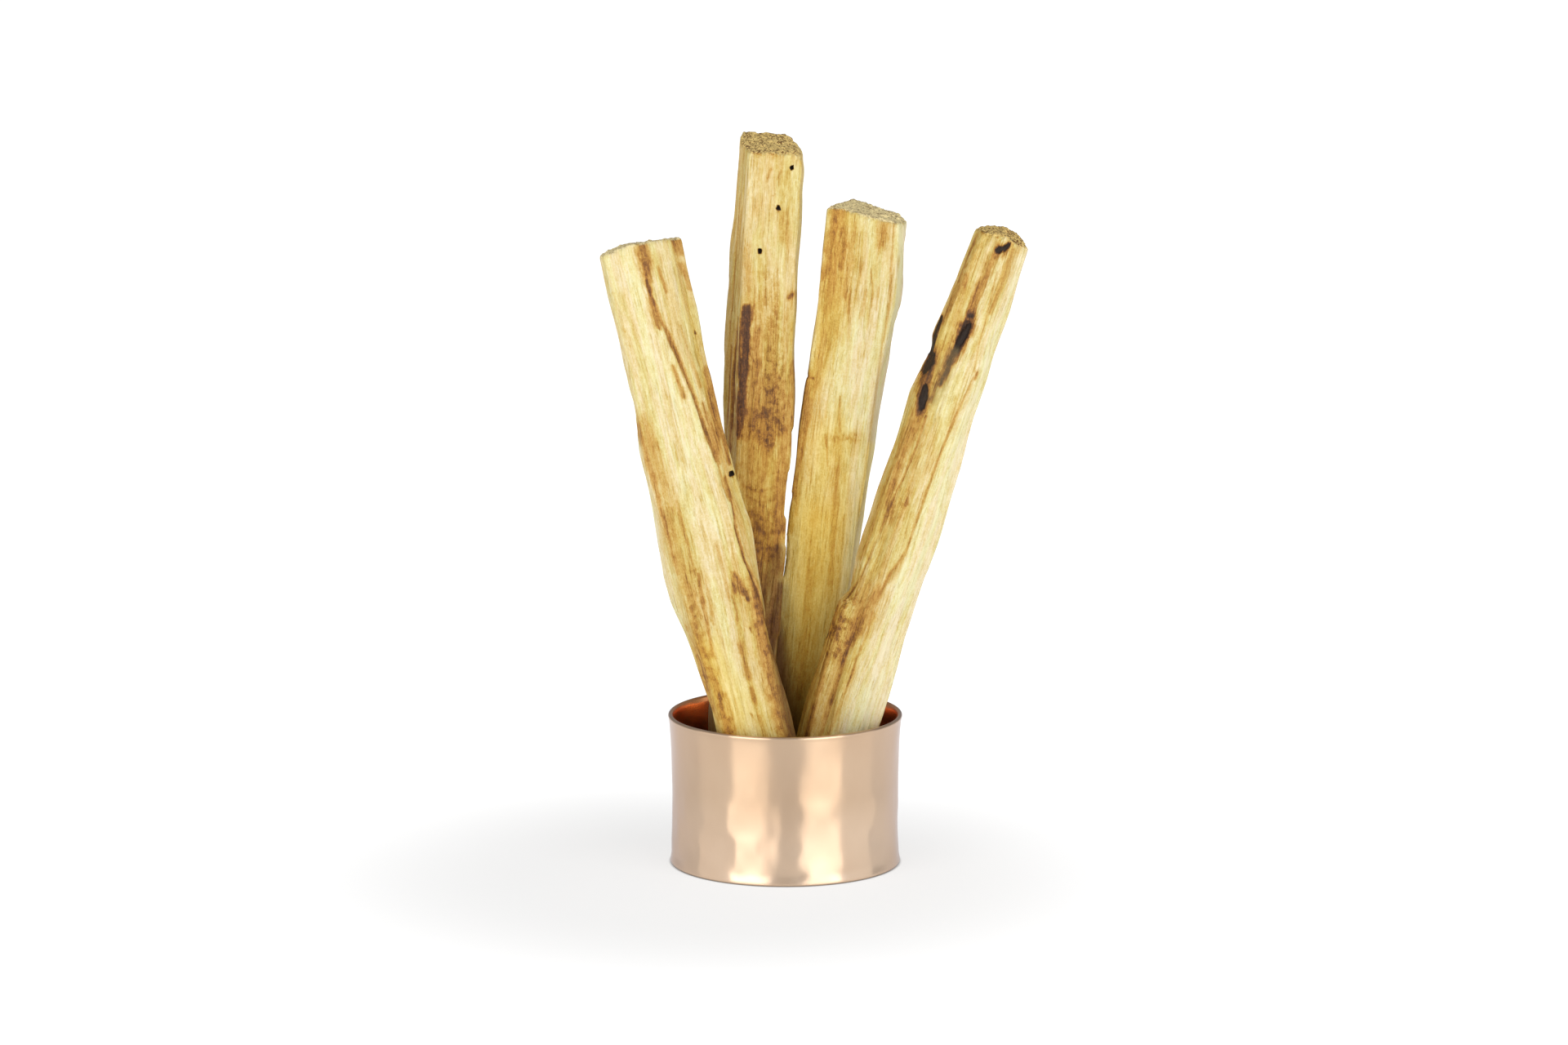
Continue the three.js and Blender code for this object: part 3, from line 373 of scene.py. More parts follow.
# The cup, in mm, from the frame's own box. CUP_EDGE rounds its base and CUP_CORNER its inner corner.
_, CUP_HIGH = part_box("copper_cup")
CUP_HEIGHT = CUP_HIGH.z / MM
CUP_RIM_RADIUS = CUP_HIGH.x / MM
CUP_WAIST_RADIUS = 19.35
CUP_BASE_RADIUS = 19.65
CUP_WAIST_HEIGHT = 10.0
CUP_WALL = 0.85
CUP_FLOOR = 1.0
CUP_EDGE = 0.4
CUP_CORNER = 1.2
CUP_SEGMENTS = 360
CUP_STEP = 0.36

# The hammer marks: their sizes round and up the wall, how deep they are by the foot, and how much of that
# is lost higher up.
HAMMER_SIZE = (4.5, 4.5, 5.5)
SMALL_HAMMER_SIZE = (2.4, 2.4, 3.0)
HAMMER_DEPTH = 0.18
HAMMER_DEPTH_LOST = 0.11

# The floor's own glow, painted light that keeps it white: how far out it starts round the cup's foot, inside
# which the floor is dark as a painted contact shadow, and the soft painted shadow's middle and reach, in
# metres, with the strength that it has near the cup and what is added beyond the shadow.
PAINTED_CONTACT_SHADOW = (0.0192, 0.0201)
SHADOW_MIDDLE = (-0.012, -0.016, 0.0)
SHADOW_REACH = (0.03, 0.11)
NEAR_GLOW = 0.69
ADDED_GLOW = 0.3
FLOOR_REACH = 6.0

# The lights: azimuth and elevation in degrees, distance and size in metres, power, and whether the light is
# only seen mirrored. Azimuth 0 is the camera's side and plus is right.
LIGHTS = {
    "softbox_left": (-36, 16, 0.8, (0.56, 0.46), 2.5, False),
    "softbox_right": (38, 16, 0.8, (0.60, 0.46), 2.7, False),
    "wing_left": (-72, 10, 1.2, (1.0, 0.7), 1.8, False),
    "wing_right": (74, 10, 1.2, (1.0, 0.7), 1.8, False),
    "shine_left": (-37.5, 8, 0.8, (0.41, 0.24), 0.56, True),
    "shine_right": (39.5, 8, 0.8, (0.43, 0.24), 0.66, True),
    "ceiling_panel": (0, 38, 1.7, (3.2, 1.4), 5.0, False),
}
LIT_HEIGHT = 0.05
STUDIO_STRENGTH = 0.32

LATTICE_SIZE = 64
LATTICE = np.random.default_rng(5).uniform(-1, 1, (LATTICE_SIZE,) * 3)
SEED_SHIFT = np.array([3.7, 5.3, 7.9])


def noise(points, period, seed):
    """Smooth noise from -1 to 1 at (n, 3) places, with a period in mm along each axis."""
    scaled = points / np.asarray(period) + seed * SEED_SHIFT
    cell = np.floor(scaled).astype(int)
    part = scaled - cell
    part = part ** 3 * (part * (part * 6 - 15) + 10)
    total = np.zeros(len(points))
    for corner in np.ndindex(2, 2, 2):
        place = (cell + corner) % LATTICE_SIZE
        weight = np.prod(np.where(corner, part, 1 - part), axis=1)
        total += weight * LATTICE[place[:, 0], place[:, 1], place[:, 2]]
    return total


def step(low, high, values):
    """0 below low, 1 above high and a smooth rise between them."""
    part = np.clip((values - low) / (high - low), 0, 1)
    return part * part * (3 - 2 * part)


# A Mix node's sockets for colours share their names with others, so they go by number.
MIX_FACTOR, MIX_FIRST, MIX_SECOND, MIX_RESULT = 0, 6, 7, 2


class Value:
    """A shader socket that takes part in sums and products."""

    def __init__(self, finish, socket):
        self.finish = finish
        self.socket = socket

    def math(self, operation, *terms):
        return self.finish.add("ShaderNodeMath", {"operation": operation}, dict(enumerate(terms)))

    def __add__(self, other):
        return self.math("ADD", self, other)

    def __sub__(self, other):
        return self.math("SUBTRACT", self, other)

    def __rsub__(self, other):
        return self.math("SUBTRACT", other, self)

    def __mul__(self, other):
        return self.math("MULTIPLY", self, other)

    def __abs__(self):
        return self.math("ABSOLUTE", self)

    __radd__ = __add__
    __rmul__ = __mul__

    def at_least(self, other):
        return self.math("MAXIMUM", self, other)

    def rise(self, low, high):
        """0 below low, 1 above high and a smooth rise between them."""
        sockets = {"Value": self, "From Min": low, "From Max": high}
        return self.finish.add("ShaderNodeMapRange", {"interpolation_type": "SMOOTHSTEP"}, sockets)


class Finish:
    """A material, whose nodes are all added by one method."""

    def __init__(self, name):
        self.material = bpy.data.materials.new(name)
        self.material.use_nodes = True
        self.tree = self.material.node_tree
        self.shader = self.tree.nodes["Principled BSDF"]

    def feed(self, socket, value):
        """Links a value to a socket, or sets the socket to a number or colour."""
        if isinstance(value, Value):
            self.tree.links.new(value.socket, socket)
        else:
            socket.default_value = value

    def add(self, kind, settings=None, sockets=None, output=0):
        """Adds a node: first its settings, then the values or links of its sockets."""
        node = self.tree.nodes.new(kind)
        for name, value in (settings or {}).items():
            if name == "stops":
                ramp_stops(node.color_ramp, value)
            else:
                setattr(node, name, value)
        for name, value in (sockets or {}).items():
            self.feed(node.inputs[name], value)
        return Value(self, node.outputs[output])

    def set(self, sockets):
        """Feeds the shader itself."""
        for name, value in sockets.items():
            self.feed(self.shader.inputs[name], value)

    def place(self):
        """The place on the object, in metres."""
        return self.add("ShaderNodeTexCoord", output="Object")

    def grey(self, value):
        """The same value for red, green and blue."""
        return self.add("ShaderNodeCombineColor", {}, {"Red": value, "Green": value, "Blue": value})

    def attribute(self, name, output="Fac"):
        """What the skin carries under this name."""
        return self.add("ShaderNodeAttribute", {"attribute_name": name}, output=output)

    def mix(self, factor, first, second, blend_type="MIX"):
        """One colour over another."""
        settings = {"data_type": "RGBA", "blend_type": blend_type}
        sockets = {MIX_FACTOR: factor, MIX_FIRST: first, MIX_SECOND: second}
        return self.add("ShaderNodeMix", settings, sockets, output=MIX_RESULT)

    def distance(self, place, centre):
        settings = {"operation": "DISTANCE"}
        return self.add("ShaderNodeVectorMath", settings, {0: place, 1: centre}, output="Value")

    def stretched(self, place, scale):
        return self.add("ShaderNodeVectorMath", {"operation": "MULTIPLY"}, {0: place, 1: scale})

    def cloud(self, place, scale, detail, roughness=0.5):
        """Noise with a different scale along each axis."""
        vector = self.stretched(place, scale)
        sockets = {"Vector": vector, "Scale": 1.0, "Detail": detail, "Roughness": roughness}
        return self.add("ShaderNodeTexNoise", {}, sockets)

    def bump(self, height, distance, strength):
        return self.add("ShaderNodeBump", {}, {"Height": height, "Distance": distance, "Strength": strength})


def ramp_stops(ramp, stops):
    """Gives a colour ramp its stops, each a position and a colour."""
    while len(ramp.elements) < len(stops):
        ramp.elements.new(0.5)
    for element, (position, colour) in zip(ramp.elements, stops):
        element.position = position
        element.color = colour


def rgb(red, green, blue):
    """A colour as a screen shows it, made linear."""
    parts = [c / 255 for c in (red, green, blue)]
    return tuple(c / 12.92 if c <= 0.04045 else ((c + 0.055) / 1.055) ** 2.4 for c in parts) + (1.0,)


CHALK = rgb(222, 213, 176)
CREAM = rgb(214, 200, 150)
STRAW = rgb(204, 184, 122)
GOLD = rgb(190, 158, 80)
AMBER = rgb(168, 124, 48)
BROWN = rgb(124, 82, 32)
UMBER = rgb(78, 50, 22)
DARK = rgb(38, 25, 12)
GREY = rgb(118, 102, 62)
OLIVE_CAST = (0.98, 1.0, 0.9, 1.0)
ROSY_CAST = (1.0, 0.95, 0.96, 1.0)
GOLD_CAST = (1.11, 1.0, 0.54, 1.0)
# The deep brown that painted shade darkens the wood towards.
PAINTED_SHADE_TINT = (0.2, 0.12, 0.07, 1.0)
ROSY_STAIN = (1.02, 0.93, 1.18, 1.0)
END_CREAM = rgb(246, 228, 172)
END_GOLD = rgb(236, 203, 124)
END_PORE = rgb(122, 80, 34)

# The copper's two shades, between which it varies in cloudy patches. The wall is painted paler from its foot
# up to where it leaves the reach below, in metres from the middle of the underside: painted light, standing
# in for the bright floor that the lower wall mirrors.
PAINTED_LIGHT_FOOT_REACH = (0.0195, 0.0245)
COPPER_FOOT_PAINTED_LIGHT = (rgb(221, 188, 155), rgb(227, 196, 164))
COPPER_WALL = (rgb(204, 169, 133), rgb(210, 177, 142))
COPPER_INSIDE = (rgb(203, 135, 84), rgb(213, 149, 98))

# The wood's tone runs along this ramp. Bare wood has BARE_TONE, and each kind of mark takes this much off it.
RAMP = [
    (0.0, DARK), (0.16, UMBER), (0.3, BROWN), (0.44, AMBER),
    (0.58, GOLD), (0.72, STRAW), (0.84, CREAM), (0.98, CHALK),
]
BARE_TONE = 0.79
# Low is no stain: it darkens the wood where its relief lies lowest.
STAIN = {"amber": 0.24, "brown": 0.44, "speck": 0.22, "dark": 0.8, "pale": -0.12, "low": 0.1}


def palo_santo(stick):
    """Split wood: fine fibres, golden streaks, mottling, resin stains and a granular cut end, and painted
    shade where the sticks crowd together.
    """
    finish = Finish("palo_santo_" + stick["node"])
    grain = finish.attribute("grain", "Vector")
    streaks = finish.cloud(grain, (0.75, 0.75, 0.03), 3.0) - 0.5
    fibres = finish.cloud(grain, (2.6, 2.6, 0.14), 3.0) - 0.5
    threads = finish.cloud(grain, (7.0, 7.0, 0.6), 2.0) - 0.5
    blotches = finish.cloud(grain, (0.9, 0.9, 0.32), 4.0, 0.62) - 0.5
    granules = finish.cloud(grain, (2.4, 2.4, 1.5), 3.0, 0.6) - 0.5
    mottle = finish.cloud(grain, (0.8, 0.8, 0.7), 5.0, 0.7) - 0.5
    dust = finish.cloud(grain, (5.0, 5.0, 3.2), 2.0, 0.6) - 0.5
    lines = finish.cloud(grain, (4.6, 4.6, 0.14), 2.0).rise(0.58, 0.68)
    gold = finish.attribute("gold")
    amber, brown, speck, dark, pale, low = (finish.attribute(kind) * taken for kind, taken in STAIN.items())
    ragged = 1.0 + blotches * 1.2 + fibres * 1.4 + granules * 0.8 + mottle * 1.6
    grained = streaks * 0.42 + fibres * 0.45 + threads * 0.3 + blotches * 0.36 + mottle * 0.22
    side = BARE_TONE + stick["tone"] + grained * (1.0 - gold * 0.2)
    side = side + dust * 0.3 + granules * 0.24 - lines * 0.1
    side = side - (amber + brown) * ragged - pale - low
    worm_lines = 1.0 - abs(granules).rise(0.0, 0.05)
    side = side - speck * (worm_lines * 0.5 + mottle.rise(-0.06, 0.1) + dust.rise(0.0, 0.15) * 0.7)
    side = side.at_least(0.2 + granules * 0.6 + fibres * 0.3)
    tone = side - dark * (1.0 + granules * 1.6)
    colour = finish.add("ShaderNodeValToRGB", {"stops": RAMP}, {"Fac": tone})
    warmth = finish.cloud(grain, (0.7, 0.7, 0.07), 3.0)
    cast = finish.mix(warmth.rise(0.4, 0.6), OLIVE_CAST, ROSY_CAST)
    cast = finish.mix(finish.attribute("brown"), cast, ROSY_STAIN)
    colour = finish.mix(1.0, colour, finish.mix(gold, cast, GOLD_CAST), "MULTIPLY")
    colour = finish.mix(finish.attribute("grey") * 0.6, colour, GREY)
    pores = (granules + dust * 0.8 + mottle * 0.8).rise(0.0, 0.12)
    pores = pores * (0.55 + 0.45 * stick["golden_end"])
    sawn = finish.mix(stick["golden_end"], END_CREAM, END_GOLD)
    colour = finish.mix(finish.attribute("end"), colour, finish.mix(pores, sawn, END_PORE))
    # Painted shade: the wood is darkened towards a deep brown where the sticks crowd together and into the
    # cup.
    colour = finish.mix(finish.attribute("shade"), colour, PAINTED_SHADE_TINT, "MULTIPLY")
    relief = fibres * 0.6 + threads * 0.5 + granules * 0.2 + dust * 0.3 - lines * 0.2
    finish.set({
        "Base Color": colour,
        "Roughness": 0.62 + threads * 0.4,
        "Normal": finish.bump(relief, 0.25 * MM, 0.9),
        "Specular IOR Level": 0.3,
    })
    return finish.material


def satin_copper():
    """The outside: pale pink copper under a clear lacquer, painted palest by the foot as painted light,
    brushed round and round, so that what it mirrors is drawn out upright."""
    finish = Finish("satin_copper")
    place = finish.place()
    brushing = finish.cloud(place, (300.0, 300.0, 9000.0), 2.0)
    haze = finish.cloud(place, (90.0, 90.0, 60.0), 3.0)
    patches = haze.rise(0.35, 0.7)
    # Painted light: the copper is paler towards the foot, as if it mirrored more of the bright floor.
    upper = finish.distance(place, ORIGIN).rise(*PAINTED_LIGHT_FOOT_REACH)
    foot = finish.mix(patches, *COPPER_FOOT_PAINTED_LIGHT)
    wall = finish.mix(patches, *COPPER_WALL)
    finish.set({
        "Base Color": finish.mix(upper, foot, wall),
        "Roughness": 0.27 + haze * 0.06,
        "Normal": finish.bump(brushing, 0.006 * MM, 0.6),
        "Metallic": 1.0,
        "Anisotropic": 1.0,
        "Anisotropic Rotation": 0.25,
        "Specular Tint": (0.6, 0.5, 0.48, 1.0),
        "Coat Weight": 1.0,
        "Coat IOR": 1.8,
        "Coat Roughness": 0.3,
    })
    return finish.material


def polished_copper():
    """The inside: redder and smooth, with a slight haze."""
    finish = Finish("polished_copper")
    place = finish.place()
    haze = finish.cloud(place, (200.0, 200.0, 120.0), 3.0)
    finish.set({
        "Base Color": finish.mix(haze.rise(0.3, 0.7), *COPPER_INSIDE),
        "Roughness": 0.2 + haze * 0.1,
        "Metallic": 1.0,
    })
    return finish.material


def standing(stick):
    """From a stick's own frame, z up from its foot, to the object's, all in mm."""
    forward, right, turn = (math.radians(angle) for angle in stick["lean"])
    turned = Matrix.Rotation(right, 4, "Y") @ Matrix.Rotation(forward, 4, "X") @ Matrix.Rotation(turn, 4, "Z")
    corners = np.array([v.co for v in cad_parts[stick["node"]].data.vertices]) / MM
    flat = np.array(turned.to_3x3())
    along = (corners - np.array([*stick["foot"], 0.0])) @ flat[:, 2]
    return Matrix.Translation((*stick["foot"], along.min() / flat[2, 2])) @ turned


def ray_rows(length):
    """For each row of the skin, from head to foot: the height on the axis a ray starts at, and its tilt."""
    rows = []
    top = length - END_REACH
    for rho in np.arange(0, END_RADIUS, END_STEP):
        rows.append((top, math.atan2(rho, END_REACH)))
    for rise in np.arange(END_REACH, 0, -SIDE_STEP):
        rows.append((top, math.atan2(END_RADIUS, rise)))
    for height in np.arange(top, END_REACH, -SIDE_STEP):
        rows.append((height, math.pi / 2))
    for fall in np.arange(0, END_REACH, FOOT_STEP):
        rows.append((END_REACH, math.pi / 2 + math.atan2(fall, END_RADIUS)))
    for rho in np.arange(END_RADIUS, 0, -FOOT_STEP):
        rows.append((END_REACH, math.pi - math.atan2(rho, END_REACH)))
    rows.append((END_REACH, math.pi))
    return rows


def even_angles(tree, height):
    """Angles round a stick at even steps along its outline at this height."""
    fine = np.linspace(0, 2 * math.pi, FINE_ANGLES)
    middle = Vector((0, 0, height))
    reach = [tree.ray_cast(middle, Vector((math.cos(a), math.sin(a), 0)))[3] for a in fine]
    x, y = reach * np.cos(fine), reach * np.sin(fine)
    along = np.concatenate([[0], np.cumsum(np.hypot(np.diff(x), np.diff(y)))])
    return np.interp(np.arange(AROUND) / AROUND * along[-1], along, fine)


def blurred(grid, sigma, axis):
    """The grid smoothed along one axis: axis 1 runs round the stick and meets itself."""
    reach = int(3 * sigma) + 1
    offsets = np.arange(-reach, reach + 1)
    weights = np.exp(-0.5 * (offsets / sigma) ** 2)
    mode = "wrap" if axis == 1 else "edge"
    padded = np.pad(grid, [(reach, reach) if k == axis else (0, 0) for k in (0, 1)], mode=mode)
    total = np.zeros_like(grid)
    for offset, weight in zip(offsets, weights / weights.sum()):
        part = slice(reach + offset, reach + offset + grid.shape[axis])
        total += weight * (padded[part] if axis == 0 else padded[:, part])
    return total


def closed(reach, near):
    """Fills narrow pits where near is true: the highest of each window, then the lowest of those."""
    filled = reach
    for pick in (np.maximum, np.minimum):
        for axis, width in enumerate((FILLED_ROWS, FILLED_COLUMNS)):
            filled = pick.reduce([np.roll(filled, offset, axis) for offset in range(-width, width + 1)])
    return np.where(near, filled, reach)


def hole_distance(stick, own):
    """How many radii each place lies from the nearest worm hole, on the side that faces the front."""
    nearest = np.full(own.shape[:-1], FAR_AWAY)
    for drop, across, radius in stick["holes"]:
        away = np.hypot(own[..., 0] - across, stick["length"] - own[..., 2] - drop) / radius
        nearest = np.minimum(nearest, np.where(own[..., 1] < 0, away, FAR_AWAY))
    return nearest


def skin_grid(stick, matrix):
    """The stick's surface in its own frame, sampled by rays from its axis in rows from head to foot."""
    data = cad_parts[stick["node"]].data
    back = matrix.inverted()
    tree = BVHTree.FromPolygons(
        [back @ (v.co / MM) for v in data.vertices], [tuple(p.vertices) for p in data.polygons]
    )
    angles = even_angles(tree, stick["length"] / 2)
    rows = ray_rows(stick["length"])
    starts = np.array([(0, 0, height) for height, tilt in rows])
    tilts = np.array([tilt for height, tilt in rows])
    aims = np.stack([
        np.sin(tilts)[:, None] * np.cos(angles),
        np.sin(tilts)[:, None] * np.sin(angles),
        np.repeat(np.cos(tilts)[:, None], AROUND, axis=1),
    ], axis=2)
    reach = np.array([
        [tree.ray_cast(Vector(start), Vector(aim))[3] for aim in line] for start, line in zip(starts, aims)
    ])
    points = starts[:, None, :] + aims * reach[:, :, None]
    level = math.pi / 2
    walls = (tilts >= math.atan2(END_RADIUS, END_REACH)) & (tilts < level + TILT_TOLERANCE)
    reach = closed(reach, (hole_distance(stick, points) < FILLED_RADII) & walls[:, None])
    passed = np.cumsum(np.abs(tilts - level) < TILT_TOLERANCE)
    inside = step(2, 14, passed) * (1 - step(passed[-1] - 8, passed[-1], passed))
    by_end, by_side = (
        blurred(blurred(reach, across, 1), along, 0) for across, along in (END_BLUR, SIDE_BLUR)
    )
    reach = by_end + (by_side - by_end) * inside[:, None]
    return starts[:, None, :] + aims * reach[:, :, None]


def grid_normals(grid):
    """The way the skin faces at each of its points."""
    down = np.gradient(grid, axis=0)
    around = (np.roll(grid, -1, axis=1) - np.roll(grid, 1, axis=1)) / 2
    normals = np.cross(around, -down)
    normals[0] = normals[1].mean(axis=0)
    normals[-1] = normals[-2].mean(axis=0)
    return normals / np.maximum(np.linalg.norm(normals, axis=2, keepdims=True), 1e-9)


def in_picture(stick, points):
    """Where the camera sees points, in mm down the stick's marks' axis and mm to the right of it."""
    sight = points - CAMERA_PLACE
    cosine, sine = math.cos(CAMERA_ELEVATION), math.sin(CAMERA_ELEVATION)
    depth = sight @ np.array([0.0, cosine, -sine])
    across = PICTURE_CENTRE[0] + FOCAL_PIXELS * sight[:, 0] / depth
    down = PICTURE_CENTRE[1] - FOCAL_PIXELS * (sight @ np.array([0.0, sine, cosine])) / depth
    (x0, y0), (x1, y1) = stick["picture"]
    length = math.hypot(x1 - x0, y1 - y0)
    axis = np.array([x1 - x0, y1 - y0]) / length
    place = np.stack([across - x0, down - y0], axis=1) / PIXELS_PER_MM
    return place @ axis, place @ np.array([axis[1], -axis[0]])


def stroke(down, across, points):
    """How many half-widths each place lies from a stroke's line."""
    nearest = np.full(len(down), FAR_AWAY)
    for (d0, a0, w0), (d1, a1, w1) in zip(points, points[1:]):
        run = np.array([d1 - d0, a1 - a0])
        part = np.clip(((down - d0) * run[0] + (across - a0) * run[1]) / (run @ run), 0, 1)
        away = np.hypot(down - d0 - part * run[0], across - a0 - part * run[1])
        nearest = np.minimum(nearest, away / (w0 + (w1 - w0) * part))
    return nearest


def marked(stick, own, down, across, front):
    """The marks' strength at each place, for every kind, and how deep they are sunk."""
    long, wide, fine = (noise(own, size, 3 + k) for k, size in enumerate(FRAY_SIZES))
    fray = long + wide + 0.6 * fine
    strengths = {kind: np.zeros(len(own)) for kind in MARK_KINDS}
    sunk = np.zeros(len(own))
    for kind, strength, depth, points in stick["marks"]:
        soft = SOFTNESS.get(kind, USUAL_SOFTNESS)
        torn = FRAY.get(kind, USUAL_FRAY) * fray
        cover = (1 - step(1 - soft, 1 + soft, stroke(down, across, points) + torn)) * front
        strengths[kind] = np.maximum(strengths[kind], strength * cover)
        sunk = np.where(abs(depth) * cover > abs(sunk), depth * cover, sunk)
        if kind in ("brown", "dark"):
            wider = [(d, a, width + HALO_WIDTH) for d, a, width in points]
            halo = (1 - step(*HALO_EDGE, stroke(down, across, wider) + USUAL_FRAY * fray)) * front
            strengths["amber"] = np.maximum(strengths["amber"], HALO_STRENGTH * strength * halo)
    return strengths, sunk


def split_relief(own, seed, end):
    """The height of splinters, fibres and torn grain in mm, and the places as the bent grain has them."""
    straight = np.zeros(len(own))
    bend = np.stack([noise(own, BEND_SIZE, seed), noise(own, BEND_SIZE, seed + 1), straight], axis=1)
    along = own + 0.9 * bend
    slabs = noise(along, SLAB_SIZE, seed + 2) * TERRACES
    whole = np.floor(slabs)
    terraces = whole / TERRACES + step(0.7, 1.0, slabs - whole) / TERRACES
    fibres = noise(along, FIBRE_SIZE, seed + 3)
    threads = noise(along, THREAD_SIZE, seed + 4)
    side = 0.08 + 0.18 * terraces + 0.08 * fibres + 0.045 * threads
    torn = 0.16 * noise(own, TORN_SIZE, seed + 5) + 0.12 * noise(own, CRUMB_SIZE, seed + 6)
    return side * (1 - end) + (torn + 0.03 * fibres) * end, along


def stain_hidden_side(stick, own, unseen, strengths):
    """Loose patches of the same kinds as in front, where the picture doesn't show the wood."""
    patches = noise(own, HIDDEN_PATCH_SIZE, stick["seed"] + 7)
    for kind, cover in (
        ("amber", step(0.0, 0.6, patches)),
        ("brown", 0.45 * step(0.3, 0.7, patches)),
        ("speck", step(0.1, 0.6, -patches)),
    ):
        strengths[kind] = np.maximum(strengths[kind], cover * unseen)


def make_stick(stick):
    """A fine skin over the stick's solid."""
    matrix = standing(stick)
    turned = np.array(matrix.to_3x3())
    place = np.array(matrix.translation)
    grid = skin_grid(stick, matrix)
    normals = grid_normals(grid)
    own = grid.reshape(-1, 3)
    out = normals.reshape(-1, 3)
    torn_edge = noise(own, TORN_EDGE_SIZE, 9)
    end = step(0.45, 0.85, np.abs(out[:, 2]) + 0.25 * torn_edge)
    world = own @ turned.T + place
    down, across = in_picture(stick, world)
    to_camera = CAMERA_PLACE - world
    to_camera /= np.linalg.norm(to_camera, axis=1, keepdims=True)
    front = step(-0.35, -0.05, np.sum((out @ turned.T) * to_camera, axis=1))
    relief, along = split_relief(own, stick["seed"], end)
    strengths, sunk = marked(stick, own, down, across, front)
    hole = hole_distance(stick, own)
    strengths["dark"] = np.maximum(strengths["dark"], HOLE_DARKNESS * (1 - step(0.7, 1.3, hole)))
    bored = HOLE_DEPTH * (1 - step(0.5, 1.1, hole))[:, None] * [0.0, 1.0, 0.0]
    chips = CHIP_DEPTH * 4 * end * (1 - end) * step(0.0, 0.5, torn_edge)
    stain_hidden_side(stick, own, 1 - front, strengths)
    strengths["end"] = end
    strengths["low"] = step(0.0, 0.2, -relief)
    own = own + out * (relief - sunk - chips)[:, None] + bored
    world = (own @ turned.T + place) * MM
    skin_object(stick, grid.shape[:2], world, along, strengths)


def skin_object(stick, shape, places, along, strengths):
    """A sphere whose vertices move to the skin's places, with what they carry for the finish."""
    rows, columns = shape
    bm = bmesh.new()
    bmesh.ops.create_uvsphere(bm, u_segments=columns, v_segments=rows - 1, radius=1.0)
    mesh = bpy.data.meshes.new(stick["node"] + "_skin")
    bm.to_mesh(mesh)
    bm.free()
    ball = np.zeros(len(mesh.vertices) * 3)
    mesh.vertices.foreach_get("co", ball)
    x, y, z = ball.reshape(-1, 3).T
    row = np.rint(np.arccos(np.clip(z, -1, 1)) / math.pi * (rows - 1)).astype(int)
    column = np.rint(np.arctan2(y, x) / (2 * math.pi) * columns).astype(int) % columns
    column[(row == 0) | (row == rows - 1)] = 0
    index = row * columns + column
    mesh.vertices.foreach_set("co", places[index].ravel())
    carried = mesh.attributes.new("grain", "FLOAT_VECTOR", "POINT")
    carried.data.foreach_set("vector", along[index].ravel())
    for name, values in strengths.items():
        carried = mesh.attributes.new(name, "FLOAT", "POINT")
        carried.data.foreach_set("value", values[index])
    mesh.update()
    mesh.shade_smooth()
    piece = bpy.data.objects.new(stick["node"] + "_skin", mesh)
    bpy.context.scene.collection.objects.link(piece)
    piece.data.materials.append(palo_santo(stick))
    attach(piece, "root")
    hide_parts(stick["node"])


def cup_radius(height):
    """The cup's outer radius: narrowest at the waist, wider at the base and flared at the rim."""
    if height < CUP_WAIST_HEIGHT:
        down = 1 - height / CUP_WAIST_HEIGHT
        return CUP_WAIST_RADIUS + (CUP_BASE_RADIUS - CUP_WAIST_RADIUS) * down ** 2
    up = (height - CUP_WAIST_HEIGHT) / (CUP_HEIGHT - CUP_WAIST_HEIGHT)
    return CUP_WAIST_RADIUS + (CUP_RIM_RADIUS - CUP_WAIST_RADIUS) * up ** 3


def cup_profile():
    """Half of the cup's section, from the middle of its underside to the middle of its inner floor."""
    lip = CUP_WALL / 2
    quarter = np.linspace(0, math.pi / 2, 7)
    base = CUP_BASE_RADIUS - CUP_EDGE
    outline = [(radius, 0.0) for radius in np.linspace(0, base, 24)]
    outline += [(base + CUP_EDGE * math.sin(a), CUP_EDGE - CUP_EDGE * math.cos(a)) for a in quarter[1:]]
    heights = np.arange(CUP_EDGE + CUP_STEP, CUP_HEIGHT - lip, CUP_STEP)
    outline += [(cup_radius(height), height) for height in heights]
    rim, top = cup_radius(CUP_HEIGHT) - lip, CUP_HEIGHT - lip
    outline += [(rim + lip * math.cos(a), top + lip * math.sin(a)) for a in np.linspace(0, math.pi, 11)]
    corner = CUP_FLOOR + CUP_CORNER
    outline += [(cup_radius(height) - CUP_WALL, height) for height in heights[::-1] if height > corner]
    inner = CUP_WAIST_RADIUS - CUP_WALL - CUP_CORNER
    outline += [(inner + CUP_CORNER * math.cos(a), corner - CUP_CORNER * math.sin(a)) for a in quarter]
    outline += [(radius, CUP_FLOOR) for radius in np.linspace(inner, 0, 20)[1:]]
    return outline


